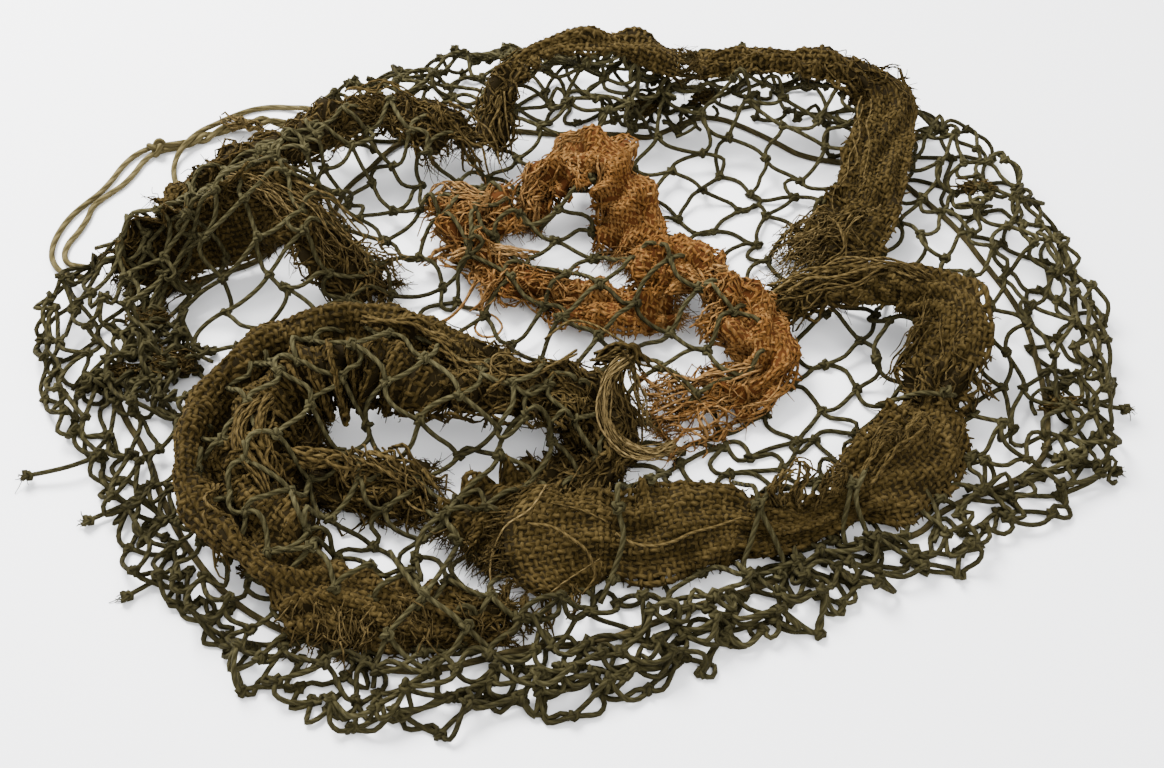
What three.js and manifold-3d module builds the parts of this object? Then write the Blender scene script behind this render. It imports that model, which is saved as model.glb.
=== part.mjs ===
// A knotted helmet net with hessian camouflage strips, lying mouth down on a table.
// The net is a round bag. Its crown has sunk to the table in the middle, its side bulges
// outwards at the rim, and its mouth is drawn in underneath on a drawcord.
// Millimetres, +Z up. The origin is on the table, under the middle of the net.
import * as THREE from "three";
import { mergeVertices } from "three/addons/utils/BufferGeometryUtils.js";
import Module from "manifold-3d";

const wasm = await Module();
wasm.setup();

// ---- driving dimensions -------------------------------------------------------------
const GAP = 0.35; // between pieces that touch
const BAR = { wide: 3.2, thick: 2.4 }; // a run of net cord and its knots, as one flat bar
const CROWN_CELLS = 9; // cells along one side of the crown's grid
const CROWN_TURN = 48; // degrees that the crown's grid is turned on the table
const TUCK_RINGS = 2; // rows of cells in the side that is turned under
const SMALLEST_HOLE = 7; // a gathered cell narrower than this is closed
const CLOTH = 2; // thickness of the hessian
const STATION = 14; // steps along a strip
const CRUMPLE = 2.4; // how far a strip's edges wander up and down along it
const UNEVEN = 5; // how far a knot of the crown lies from its even place
const TIE = 2.8; // diameter of the drawcord and its free ends
const TIE_SIDES = 8;
const TIE_STEP = 8;
const DRAWCORD_INSET = 4.2; // from the mouth's edge to the drawcord
const DRAWCORD_STEPS = 48;

const COLOURS = { cord: 0x4a4630, olive: 0x5c4a2a, rust: 0xa8683c, tie: 0x5a5138 };

// Rows under the column names that the first line gives.
function table(columns, rows) {
  const names = columns.split(" ");
  return rows.map((row) => Object.fromEntries(names.map((name, i) => [name, row[i]])));
}

// The rim seen from above: how far it reaches at each bearing, how high the net swells, and how
// deep the side is turned under, from the rim to the mouth.
const RIM = table("turn reach swell deep", [
  [0, 239, 15, 30], [18, 240, 20, 38], [34, 244, 20, 46], [49, 221, 26, 46], [65, 224, 25, 46],
  [76, 196, 30, 46], [92, 194, 33, 46], [108, 203, 26, 46], [122, 213, 20, 46],
  [135, 203, 20, 46], [147, 192, 24, 46], [160, 206, 24, 46], [176, 243, 16, 40],
  [188, 235, 12, 30], [203, 214, 9, 20], [226, 214, 7, 18], [246, 215, 7, 26],
  [268, 190, 7, 25], [290, 177, 7, 22], [308, 181, 7, 22], [325, 204, 8, 22],
  [342, 237, 11, 24],
]);

// Where strips and bunched cord hold the crown up off the table.
const HUMPS = table("x y reach rise", [
  [-5, 78, 34, 30], [10, 22, 34, 15], [62, 16, 30, 20], [-118, -62, 34, 26],
  [-148, 38, 34, 46], [-120, 108, 38, 30], [0, 150, 60, 34], [110, 146, 48, 26],
  [140, 84, 34, 18], [150, -14, 30, 22],
]);

// Where the cells are drawn together into a bunch.
const GATHERS = table("x y reach pull", [
  [-186, -12, 48, 0.42], [38, 158, 40, 0.5], [176, -84, 36, 0.38],
]);

// Worn ends of cord that stand out past the rim.
const FRAYED_ENDS = table("turn long", [[201, 26], [209, 20], [220, 22], [347, 13]]);

// ---- strips of hessian --------------------------------------------------------------
// One row for each bend: the middle of the strip, its width, how far its left edge is banked
// up, and how far the left and right halves curl down (or up, if negative), in degrees.
const STRIP_COLUMNS = "x y z wide bank left right";
const STRIPS = {
  scrim_front: {
    colour: "olive",
    across: 4,
    rows: table(STRIP_COLUMNS, [
      [92, 13, 15, 30, -8, 90, 50], [113, 15, 22, 28, -8, 110, 60],
      [134, 14, 28, 30, -6, 100, 60], [150, 8, 32, 32, 12, 80, 60],
      [160, -7, 31, 34, 35, 50, 40], [158, -25, 27, 38, 28, 36, 30],
      [154, -39, 20, 34, 12, 40, 30], [151, -51, 15, 24, 0, 60, 60],
      [149, -63, 17, 38, -18, 24, 24], [142, -76, 18, 42, -20, 20, 24],
      [130, -88, 16, 42, -20, 26, 26], [118, -95, 15, 34, -20, 30, 26],
      [109, -101, 13, 19, -10, 60, 50], [100, -106, 12, 17, -10, 50, 40],
      [88, -110, 12, 21, -14, 40, 40], [77, -112, 13, 23, -14, 50, 40],
      [70, -112, 13, 28, -16, 50, 40], [63, -111, 14, 34, -18, 30, 30],
      [46, -114, 16, 40, -20, 22, 22], [29, -118, 15, 38, -20, 24, 24],
      [19, -118, 14, 35, -20, 40, 40], [10, -118, 15, 38, -20, 24, 22],
      [-5, -121, 16, 42, -20, 22, 20], [-27, -124, 14, 44, -18, 16, 16],
    ]),
  },
  scrim_loop: {
    colour: "olive",
    across: 6,
    rows: table(STRIP_COLUMNS, [
      [-26, -150, 10, 26, -6, 40, 40], [-42, -150, 12, 32, -8, 40, 40],
      [-60, -147, 14, 40, -12, 30, 20], [-82, -143, 16, 46, -14, 24, 10],
      [-104, -136, 19, 48, -10, 30, 0], [-126, -124, 23, 46, 0, 120, -30],
      [-142, -106, 26, 52, 0, 180, -44], [-148, -82, 27, 62, 0, 190, -48],
      [-143, -56, 29, 62, 0, 190, -50], [-128, -36, 31, 62, 0, 190, -50],
      [-108, -26, 33, 62, 0, 190, -46], [-86, -23, 34, 60, 0, 190, -40],
      [-66, -28, 33, 54, 0, 180, -20], [-47, -37, 31, 46, 0, 150, 10],
      [-28, -44, 29, 44, -4, 110, 40], [-8, -48, 25, 44, -8, 60, 40],
      [8, -53, 19, 38, -8, 40, 40], [12, -65, 12, 34, 0, 30, 40], [5, -80, 8, 34, 0, 20, 20],
      [-13, -96, 9, 34, -8, 20, 20], [-31, -108, 11, 36, -12, 16, 20],
      [-42, -120, 9, 34, -12, 10, 10],
    ]),
  },
  scrim_gather: {
    colour: "olive",
    across: 4,
    rows: table(STRIP_COLUMNS, [
      [-111, -58, 12, 26, 0, 90, 90], [-111, -74, 14, 30, 0, 90, 90],
      [-102, -86, 14, 30, 0, 80, 80], [-88, -91, 13, 32, 0, 80, 70], [-72, -92, 11, 32, 0, 60, 60],
      [-58, -93, 8, 28, 0, 40, 40],
    ]),
  },
  scrim_left: {
    colour: "olive",
    across: 4,
    rows: table(STRIP_COLUMNS, [
      [-90, 20, 9, 36, 0, 30, 30], [-98, 26, 15, 36, 0, 50, 60], [-107, 33, 24, 34, 0, 60, 70],
      [-118, 41, 34, 32, 0, 60, 60], [-130, 48, 38, 34, -20, 40, 20],
      [-143, 52, 33, 42, -50, 20, -60], [-156, 53, 28, 46, -62, 10, -120],
      [-170, 51, 26, 46, -62, 10, -120], [-182, 45, 22, 42, -55, 10, -90],
      [-191, 34, 17, 36, -40, 20, -30], [-197, 22, 12, 32, -10, 30, 30],
    ]),
  },
  scrim_back_left: {
    colour: "olive",
    across: 4,
    rows: table(STRIP_COLUMNS, [
      [-192, 66, 20, 28, 0, 70, 70], [-172, 77, 30, 30, 0, 70, 70],
      [-152, 88, 35, 34, 0, 60, 70], [-132, 101, 37, 34, 0, 60, 70],
      [-112, 117, 36, 30, 0, 60, 70], [-92, 127, 34, 28, 0, 60, 70],
      [-73, 124, 29, 36, -8, 40, 40], [-58, 114, 22, 40, -10, 30, 30],
    ]),
  },
  scrim_back: {
    colour: "olive",
    across: 4,
    rows: table(STRIP_COLUMNS, [
      [-44, 118, 16, 26, 0, 60, 60], [-40, 131, 28, 22, 0, 70, 70], [-32, 143, 40, 20, 0, 80, 80],
      [-20, 153, 48, 18, 0, 80, 80], [-3, 158, 51, 18, 0, 80, 80], [17, 160, 50, 20, 0, 80, 80],
      [36, 159, 46, 26, 0, 50, 50], [53, 157, 40, 24, 0, 50, 50],
    ]),
  },
  scrim_back_right: {
    colour: "olive",
    across: 4,
    rows: table(STRIP_COLUMNS, [
      [62, 156, 38, 20, -6, 60, 60], [85, 157, 41, 26, -14, 50, 40],
      [107, 157, 41, 26, -14, 50, 40], [129, 154, 40, 26, -10, 50, 50],
      [146, 145, 37, 26, 10, 50, 50], [153, 131, 31, 30, 16, 30, 40],
      [149, 112, 27, 32, 6, 30, 30], [143, 91, 24, 32, 4, 30, 30], [137, 71, 19, 34, 4, 20, 20],
      [124, 55, 12, 44, 0, 20, 20], [114, 43, 6, 44, 0, 10, 10],
    ]),
  },
  rust_arch: {
    colour: "rust",
    across: 4,
    rows: table(STRIP_COLUMNS, [
      [-22, 69, 8, 20, 0, 40, 40], [-19, 77, 18, 24, 0, 60, 60], [-10, 85, 28, 34, 0, 60, 60],
      [2, 91, 36, 42, 0, 50, 50], [14, 87, 37, 38, 0, 60, 60], [22, 77, 31, 28, 0, 60, 60],
      [26, 67, 24, 36, 0, 40, 40], [25, 57, 16, 36, 0, 30, 40], [20, 48, 9, 28, 0, 30, 30],
    ]),
  },
  rust_run: {
    colour: "rust",
    across: 4,
    rows: table(STRIP_COLUMNS, [
      [-40, 80, 10, 24, 0, 50, 40], [-43, 72, 21, 40, 0, 60, 50], [-45, 60, 24, 44, 0, 60, 50],
      [-47, 49, 17, 30, 0, 60, 50], [-42, 39, 13, 20, 0, 60, 60], [-30, 31, 13, 26, 0, 70, 60],
      [-15, 25, 12, 24, 0, 70, 60], [-1, 18, 13, 30, 0, 60, 50], [14, 13, 14, 36, -6, 50, 40],
      [30, 11, 14, 34, -6, 50, 40], [46, 12, 13, 26, 0, 40, 40],
    ]),
  },
  rust_tail: {
    colour: "rust",
    across: 4,
    rows: table(STRIP_COLUMNS, [
      [27, 35, 18, 32, 0, 60, 60], [39, 32, 26, 42, 0, 60, 60], [52, 25, 26, 40, 0, 60, 60],
      [62, 16, 22, 20, 0, 60, 60], [71, 6, 24, 36, 0, 60, 60], [79, -9, 23, 42, 0, 60, 60],
      [83, -23, 18, 34, 0, 60, 60], [78, -33, 12, 24, 0, 50, 50], [64, -41, 11, 34, 0, 30, 30],
      [48, -46, 8, 42, 0, 20, 20], [36, -49, 6, 44, 0, 10, 10],
    ]),
  },
};

// ---- free ends of the drawcord ------------------------------------------------------
// Each route is laid by hand, from where it leaves the net to where it goes back in.
const TIES = {
  tie_outer: table("x y z", [
    [-226, 33, 7], [-232, 36, 5], [-239, 41, 3.4], [-245, 50, 2.2], [-247, 60, 1.8],
    [-246, 71, 1.6], [-243, 81, 1.6], [-238, 90, 1.6], [-233, 98, 1.6], [-229, 108, 1.6],
    [-226, 118, 1.6], [-221, 127, 1.8], [-214, 132, 2.2], [-205, 134, 2], [-196, 137, 1.6],
    [-188, 142, 1.6], [-180, 148, 1.8], [-172, 151, 2.4], [-164, 152, 4], [-156, 150, 6],
  ]),
  tie_inner: table("x y z", [
    [-222, 39, 7], [-229, 42, 5], [-236, 46, 3], [-240, 53, 1.8], [-240, 61, 1.6],
    [-237, 70, 1.6], [-235, 79, 1.6], [-234, 88, 1.6], [-229, 96, 1.6], [-223, 104, 1.6],
    [-219, 113, 1.6], [-216, 122, 1.8], [-211, 128, 2.2], [-204, 130, 2], [-195, 133, 1.6],
    [-187, 138, 1.6], [-179, 144, 1.8], [-171, 147, 2.4], [-163, 147, 4], [-156, 145, 6],
  ]),
  tie_single: table("x y z", [
    [-190, 91, 7], [-194, 99, 4], [-198, 108, 2.2], [-200, 117, 2], [-199, 126, 3.4],
    [-195, 134, 5.2], [-190, 142, 5], [-184, 151, 2.6], [-176, 159, 1.6], [-167, 164, 1.6],
    [-157, 166, 1.6], [-148, 165, 2], [-139, 162, 4],
  ]),
};

// ---- small helpers ------------------------------------------------------------------
const rad = THREE.MathUtils.degToRad;
const vec = (x, y, z) => new THREE.Vector3(x, y, z);
const smooth = (from, to, value) => THREE.MathUtils.smoothstep(value, from, to);
const lerp = THREE.MathUtils.lerp;

// A value of the rim table at any bearing, with rounded steps between its rows.
function aroundRim(turn, column) {
  const bearing = ((turn % 360) + 360) % 360;
  const next = RIM.findIndex((row) => row.turn > bearing);
  const b = next < 0 ? { ...RIM[0], turn: 360 } : RIM[next];
  const a = next < 0 ? RIM[RIM.length - 1] : RIM[next - 1];
  return lerp(a[column], b[column], smooth(a.turn, b.turn, bearing));
}

// A closed solid from a function that adds triangles or quads of Vector3 corners.
function solidOf(faces) {
  const corners = [];
  const triangle = (a, b, c) => {
    for (const p of [a, b, c]) corners.push(p.x, p.y, p.z);
  };
  const quad = (a, b, c, d) => {
    triangle(a, b, c);
    triangle(a, c, d);
  };
  faces(quad);
  const geometry = new THREE.BufferGeometry();
  geometry.setAttribute("position", new THREE.Float32BufferAttribute(corners, 3));
  return manifoldOf(geometry);
}

function manifoldOf(geometry) {
  const bare = geometry.clone();
  bare.deleteAttribute("normal");
  bare.deleteAttribute("uv");
  const merged = mergeVertices(bare, 1e-4);
  const index = merged.index.array;
  const build = (triVerts) =>
    new wasm.Manifold(
      new wasm.Mesh({
        numProp: 3,
        vertProperties: merged.attributes.position.array,
        triVerts: new Uint32Array(triVerts),
      }),
    );
  const solid = build(index);
  return solid.volume() > 0 ? solid : build([...index].reverse());
}

// The largest body of a cut solid, without the crumbs that the cut leaves.
function largestBody(solid) {
  const bodies = solid.decompose();
  return bodies.reduce((best, body) => (body.volume() > best.volume() ? body : best));
}

function meshOf(name, solid, colour) {
  const { vertProperties, triVerts } = solid.getMesh();
  const geometry = new THREE.BufferGeometry();
  geometry.setAttribute("position", new THREE.BufferAttribute(vertProperties, 3));
  geometry.setIndex(new THREE.BufferAttribute(triVerts, 1));
  geometry.computeVertexNormals();
  const mesh = new THREE.Mesh(
    geometry,
    new THREE.MeshStandardMaterial({ color: COLOURS[colour], roughness: 0.95, metalness: 0 }),
  );
  mesh.name = name;
  return mesh;
}

// ---- a strip ------------------------------------------------------------------------
// The half of a strip's cross-section on one side: a run of cloth that curls at a steady rate.
function curledHalf(length, degrees) {
  const bend = rad(degrees);
  if (Math.abs(bend) < 0.01) return { out: length, down: 0, slope: 0 };
  const radius = length / bend;
  return { out: radius * Math.sin(bend), down: radius * (1 - Math.cos(bend)), slope: bend };
}

// A column of a strip's rows at t, from 0 at its first row to 1 at its last.
function betweenRows(rows, t, column) {
  const first = Math.min(Math.floor(t * (rows.length - 1)), rows.length - 2);
  return lerp(rows[first][column], rows[first + 1][column], t * (rows.length - 1) - first);
}

// The strip as a sheet of cloth CLOTH thick, made larger all round by grow.
function strip({ rows, across }, grow) {
  const middle = new THREE.CatmullRomCurve3(rows.map((r) => vec(r.x, r.y, r.z)), false, "centripetal");
  const steps = Math.ceil(middle.getLength() / STATION);
  const halfThick = CLOTH / 2 + grow;
  const rings = [];
  for (let i = 0; i <= steps; i++) {
    const t = i / steps;
    const along = middle.getTangent(t);
    const at = middle.getPoint(t);
    if (i === 0) at.addScaledVector(along, -grow);
    if (i === steps) at.addScaledVector(along, grow);
    const value = (column) => betweenRows(rows, t, column);
    const left = vec(-along.y, along.x, 0).normalize();
    const up = along.clone().cross(left);
    const bank = rad(value("bank"));
    const side = left.clone().multiplyScalar(Math.cos(bank)).addScaledVector(up, Math.sin(bank));
    const face = along.clone().cross(side);
    const top = [];
    const under = [];
    for (let k = 0; k <= across; k++) {
      const share = 1 - (2 * k) / across; // 1 at the left edge, -1 at the right one
      const hand = share < 0 ? -1 : 1;
      const reach = Math.abs(share) * (value("wide") / 2 + grow);
      const curl = value(hand < 0 ? "right" : "left") * (reach / (value("wide") / 2));
      const { out, down, slope } = curledHalf(reach, curl);
      const rise = CRUMPLE * share * share * Math.sin(2.3 * i + hand + rows.length);
      const p = at.clone().addScaledVector(side, hand * out).addScaledVector(face, rise - down);
      const normal = face.clone().multiplyScalar(Math.cos(slope));
      normal.addScaledVector(side, hand * Math.sin(slope));
      top.push(p.clone().addScaledVector(normal, halfThick));
      under.push(p.clone().addScaledVector(normal, -halfThick));
    }
    rings.push([...top, ...under.reverse()]);
  }
  return solidOf((quad) => {
    const count = rings[0].length;
    for (let i = 0; i < steps; i++)
      for (let k = 0; k < count; k++) {
        const n = (k + 1) % count;
        quad(rings[i][k], rings[i][n], rings[i + 1][n], rings[i + 1][k]);
      }
    for (const [ring, flip] of [[rings[0], true], [rings[steps], false]])
      for (let k = 0; k < across; k++) {
        const cap = [ring[k], ring[k + 1], ring[count - 2 - k], ring[count - 1 - k]];
        quad(...(flip ? cap.reverse() : cap));
      }
  });
}

// ---- a cord -------------------------------------------------------------------------
function cord(points, steps, closed, grow) {
  const shape = new THREE.Shape();
  for (let i = 0; i < TIE_SIDES; i++) {
    const angle = (i / TIE_SIDES) * 2 * Math.PI;
    const radius = TIE / 2 + grow;
    shape[i ? "lineTo" : "moveTo"](radius * Math.cos(angle), radius * Math.sin(angle));
  }
  const path = new THREE.CatmullRomCurve3(points, closed, "centripetal");
  return manifoldOf(new THREE.ExtrudeGeometry(shape, { steps, extrudePath: path }));
}

// ---- the net ------------------------------------------------------------------------
// How high the crown lies at a place that is rho of the way out to the rim.
function crownHeight(x, y, rho, turn) {
  const floor = BAR.thick / 2 + 0.3;
  const swell = aroundRim(turn, "swell") * smooth(0.5, 0.8, rho);
  const fall = 1 - 0.25 * smooth(0.85, 1, rho);
  let hump = 0;
  for (const h of HUMPS) {
    const away = Math.hypot(x - h.x, y - h.y) / h.reach;
    hump = Math.max(hump, h.rise * Math.exp(-away * away));
  }
  return floor + Math.max(swell, hump * (1 - smooth(0.85, 1, rho))) * fall;
}

// An even scatter from -1 to 1, the same each time for the same number.
function scatter(number) {
  const spread = Math.sin(number * 12.9898) * 43758.5453;
  return 2 * (spread - Math.floor(spread)) - 1;
}

// A place on the crown after the bunches nearby have drawn it in.
function gathered(x, y) {
  for (const g of GATHERS) {
    const away = Math.hypot(x - g.x, y - g.y) / g.reach;
    const pull = g.pull * Math.exp(-away * away);
    x = lerp(x, g.x, pull);
    y = lerp(y, g.y, pull);
  }
  return [x, y];
}

// A knot of the crown, from its place in the square grid that is stretched over the disc.
function crownKnot(column, row) {
  const u = (2 * column) / CROWN_CELLS - 1;
  const v = (2 * row) / CROWN_CELLS - 1;
  const x = u * Math.sqrt(1 - (v * v) / 2);
  const y = v * Math.sqrt(1 - (u * u) / 2);
  const rho = Math.hypot(x, y);
  const turn = THREE.MathUtils.radToDeg(Math.atan2(y, x)) + CROWN_TURN;
  const reach = rho * aroundRim(turn, "reach");
  let px = reach * Math.cos(rad(turn));
  let py = reach * Math.sin(rad(turn));
  if (rho < 0.95) {
    px += UNEVEN * scatter(column + 37 * row);
    py += UNEVEN * scatter(column + 37 * row + 500);
    [px, py] = gathered(px, py);
  }
  return { at: vec(px, py, crownHeight(px, py, rho, turn)), turn };
}

// All knots: the crown's grid, then the rings that go under from its edge to the mouth.
function netKnots() {
  const n = CROWN_CELLS;
  const crown = [];
  for (let row = 0; row <= n; row++)
    for (let column = 0; column <= n; column++) crown.push(crownKnot(column, row));
  const index = (column, row) => row * (n + 1) + column;
  const edge = [];
  for (let i = 0; i < n; i++) edge.push(index(i, 0));
  for (let i = 0; i < n; i++) edge.push(index(n, i));
  for (let i = n; i > 0; i--) edge.push(index(i, n));
  for (let i = n; i > 0; i--) edge.push(index(0, i));
  const knots = crown.map((knot) => knot.at);
  const cells = [];
  for (let row = 0; row < n; row++)
    for (let column = 0; column < n; column++)
      cells.push([
        index(column, row), index(column + 1, row),
        index(column + 1, row + 1), index(column, row + 1),
      ]);
  let ring = edge;
  for (let r = 1; r <= TUCK_RINGS; r++) {
    const next = edge.map((i) => {
      const { turn } = crown[i];
      const reach = aroundRim(turn, "reach") - (aroundRim(turn, "deep") * r) / TUCK_RINGS;
      knots.push(vec(reach * Math.cos(rad(turn)), reach * Math.sin(rad(turn)), BAR.thick / 2));
      return knots.length - 1;
    });
    for (let i = 0; i < edge.length; i++) {
      const j = (i + 1) % edge.length;
      cells.push([ring[j], ring[i], next[i], next[j]]);
    }
    ring = next;
  }
  return { knots, cells, mouth: ring };
}

function netSolid() {
  const { knots, cells, mouth } = netKnots();
  const normals = knots.map(() => vec(0, 0, 0));
  for (const cell of cells) {
    const [a, b, c, d] = cell.map((i) => knots[i]);
    const normal = c.clone().sub(a).cross(d.clone().sub(b)).normalize();
    for (const i of cell) normals[i].add(normal);
  }
  for (const normal of normals) normal.normalize();
  const outer = (p, i) => p.clone().addScaledVector(normals[i], BAR.thick / 2);
  const inner = (p, i) => p.clone().addScaledVector(normals[i], -BAR.thick / 2);
  return solidOf((quad) => {
    for (const cell of cells) {
      const corners = cell.map((i) => knots[i]);
      const centre = corners.reduce((sum, p) => sum.add(p), vec(0, 0, 0)).divideScalar(4);
      const hole = corners.map((p) => {
        const inset = (BAR.wide / 2) * Math.SQRT2;
        return p.clone().lerp(centre, Math.min(0.9, inset / p.distanceTo(centre)));
      });
      const out = cell.map((i, k) => outer(corners[k], i));
      const under = cell.map((i, k) => inner(corners[k], i));
      const across = Math.min(
        hole[0].distanceTo(hole[1]), hole[1].distanceTo(hole[2]),
        hole[0].distanceTo(hole[2]), hole[1].distanceTo(hole[3]),
      );
      if (across < SMALLEST_HOLE) {
        quad(...out);
        quad(...[...under].reverse());
        continue;
      }
      const holeOut = cell.map((i, k) => outer(hole[k], i));
      const holeUnder = cell.map((i, k) => inner(hole[k], i));
      for (let k = 0; k < 4; k++) {
        const n = (k + 1) % 4;
        quad(out[k], out[n], holeOut[n], holeOut[k]);
        quad(under[n], under[k], holeUnder[k], holeUnder[n]);
        quad(holeOut[k], holeOut[n], holeUnder[n], holeUnder[k]);
      }
    }
    for (let i = 0; i < mouth.length; i++) {
      const a = mouth[i];
      const b = mouth[(i + 1) % mouth.length];
      quad(outer(knots[b], b), outer(knots[a], a), inner(knots[a], a), inner(knots[b], b));
    }
  });
}

// A worn cord end: a short taper that starts inside the rim's bar and points outwards.
function frayedEnd({ turn, long }) {
  const taper = new THREE.CylinderGeometry(1, 2, long, 6);
  taper.rotateZ(-Math.PI / 2);
  taper.translate(aroundRim(turn, "reach") + long / 2 - 3, 0, 0);
  taper.rotateZ(rad(turn));
  taper.translate(0, 0, 3.2);
  return manifoldOf(taper);
}

// ---- the whole part -----------------------------------------------------------------
const helmetNet = new THREE.Group();
const placed = []; // each finished piece with GAP round it, for the next ones to be cut by

function place(name, solid, withGap, colour) {
  const cut = placed.reduce((rest, other) => rest.subtract(other), solid);
  helmetNet.add(meshOf(name, largestBody(cut), colour));
  if (withGap) placed.push(withGap);
}

// The drawcord lies on the table just inside the mouth of the net.
const mouthRun = [];
for (let i = 0; i < DRAWCORD_STEPS; i++) {
  const turn = (i / DRAWCORD_STEPS) * 360;
  const reach = aroundRim(turn, "reach") - aroundRim(turn, "deep") - DRAWCORD_INSET;
  mouthRun.push(vec(reach * Math.cos(rad(turn)), reach * Math.sin(rad(turn)), TIE / 2));
}
const drawcord = (grow) => cord(mouthRun, DRAWCORD_STEPS, true, grow);
place("drawcord", drawcord(0), drawcord(GAP), "tie");

for (const [name, rows] of Object.entries(TIES)) {
  const points = rows.map((r) => vec(r.x, r.y, r.z));
  const steps = Math.ceil(new THREE.CatmullRomCurve3(points).getLength() / TIE_STEP);
  place(name, cord(points, steps, false, 0), cord(points, steps, false, GAP), "tie");
}

for (const [name, piece] of Object.entries(STRIPS))
  place(name, strip(piece, 0), strip(piece, GAP), piece.colour);

// The net last, open wherever a strip or a cord passes through it.
const wornNet = FRAYED_ENDS.reduce((net, end) => net.add(frayedEnd(end)), netSolid());
place("net", wornNet, null, "cord");

export default helmetNet;
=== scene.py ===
import bpy
import numpy as np
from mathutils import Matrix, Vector


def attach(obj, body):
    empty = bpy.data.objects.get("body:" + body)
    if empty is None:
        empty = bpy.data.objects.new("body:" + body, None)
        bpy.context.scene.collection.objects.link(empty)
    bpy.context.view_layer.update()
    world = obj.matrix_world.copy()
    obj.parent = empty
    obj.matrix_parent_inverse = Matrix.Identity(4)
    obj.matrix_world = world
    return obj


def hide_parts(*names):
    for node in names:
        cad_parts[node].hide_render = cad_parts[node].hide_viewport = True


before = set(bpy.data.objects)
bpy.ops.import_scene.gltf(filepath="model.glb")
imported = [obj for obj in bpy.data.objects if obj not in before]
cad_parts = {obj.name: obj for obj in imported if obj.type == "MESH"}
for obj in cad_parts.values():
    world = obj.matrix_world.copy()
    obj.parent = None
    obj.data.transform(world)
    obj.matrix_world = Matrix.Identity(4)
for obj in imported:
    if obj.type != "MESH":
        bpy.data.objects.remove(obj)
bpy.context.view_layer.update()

MM = 0.001

# ---- camera, table and light --------------------------------------------------------------
# The net is seen from the front and well above. A pale table runs back into a pale room, a
# broad soft lamp stands behind it on the left, and a weaker one fills the front.
CAMERA_AT = (4, -465.3, 486.8)
CAMERA_AIM = (4, -27, 0)
CAMERA_LENS = 46.39
SENSOR_WIDE = 36
NEAREST_SEEN = 10
TABLE_SIDE = 6000
TABLE_COLOUR = (0.93, 0.93, 0.9393)
TABLE_ROUGHNESS = 0.55
ROOM_COLOUR = (0.97, 0.98, 1)
ROOM_LIGHT = 1.9
LAMPS = {
    "key_lamp": {"at": (-620, 760, 1150), "side": 750, "power": 88},
    "fill_lamp": {"at": (520, -720, 900), "side": 900, "power": 12},
}


def aimed(at, aim):
    """The turn that makes a camera or lamp at one place look at another."""
    return (Vector(aim) - Vector(at)).to_track_quat("-Z", "Y").to_euler()


bpy.ops.object.select_all(action="DESELECT")
bpy.ops.object.camera_add(location=Vector(CAMERA_AT) * MM, rotation=aimed(CAMERA_AT, CAMERA_AIM))
camera = bpy.context.object
camera.data.sensor_width = SENSOR_WIDE
camera.data.lens = CAMERA_LENS
camera.data.clip_start = NEAREST_SEEN * MM
bpy.context.scene.camera = camera

for lamp_name, lamp in LAMPS.items():
    bpy.ops.object.light_add(
        type="AREA", location=Vector(lamp["at"]) * MM, rotation=aimed(lamp["at"], (0, 0, 0))
    )
    bpy.context.object.name = lamp_name
    bpy.context.object.data.size = lamp["side"] * MM
    bpy.context.object.data.energy = lamp["power"]

room = bpy.data.worlds.new("pale_room")
room.use_nodes = True
room.node_tree.nodes["Background"].inputs["Color"].default_value = (*ROOM_COLOUR, 1)
room.node_tree.nodes["Background"].inputs["Strength"].default_value = ROOM_LIGHT
bpy.context.scene.world = room

bpy.ops.mesh.primitive_plane_add(size=TABLE_SIDE * MM, location=(0, 0, 0))
table_top = bpy.context.object
table_top.name = "table_top"
table_paint = bpy.data.materials.new("table_paint")
table_paint.use_nodes = True
paint = table_paint.node_tree.nodes["Principled BSDF"]
paint.inputs["Base Color"].default_value = (*TABLE_COLOUR, 1)
paint.inputs["Roughness"].default_value = TABLE_ROUGHNESS
table_top.data.materials.append(table_paint)

# ---- free ends of the drawcord ------------------------------------------------------------
# The drawcord's two ends leave the net side by side, open into a loop on the table, meet in a
# knot, and run back twisted together to the net's rim. A third loose run crosses them and ends
# at the rim too. All is laid cotton cord.
CORD_THICK = 2.8
CORD_SIDES = 8  # of the tube that shows it
CORD_STEP = 1.6
FINE_POINTS = 60  # of a line for each point that is given, before it is cut into even steps
TIES = {  # each end of the pair as far as its knot, and the third run all along
    "tie_outer": [
        (-226, 33, 7), (-232, 36, 5), (-239, 41, 3.4), (-245, 50, 2.2), (-247, 60, 1.8),
        (-246, 71, 1.6), (-243, 81, 1.6), (-238, 90, 1.6), (-233, 98, 1.6), (-229, 108, 1.6),
        (-226, 118, 1.6), (-221, 127, 1.8), (-214, 132, 2.2),
    ],
    "tie_inner": [
        (-222, 39, 7), (-229, 42, 5), (-236, 46, 3), (-240, 53, 1.8), (-240, 61, 1.6),
        (-237, 70, 1.6), (-235, 79, 1.6), (-234, 88, 1.6), (-229, 96, 1.6), (-223, 104, 1.6),
        (-219, 113, 1.6), (-216, 122, 1.8), (-211, 128, 2.2),
    ],
    "tie_single": [
        (-190, 91, 7), (-194, 99, 4), (-198, 108, 2.2), (-200, 117, 2), (-199, 126, 3.4),
        (-195, 134, 5.2), (-190, 142, 5), (-184, 151, 2.6), (-176, 159, 1.6), (-167, 164, 1.6),
        (-157, 166, 1.6), (-148, 165, 2), (-139, 162, 4), (-130, 158, 4.6),
    ],
}
TIE_SHADE = 0.6  # from 0, the darkest of a finish, to 1, the palest
PAIR_KNOT = {"at": (-210.5, 130, 3.9), "way": (1, 0.3, 0), "size": 4.2, "points": 40, "shade": 0.5}
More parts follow.
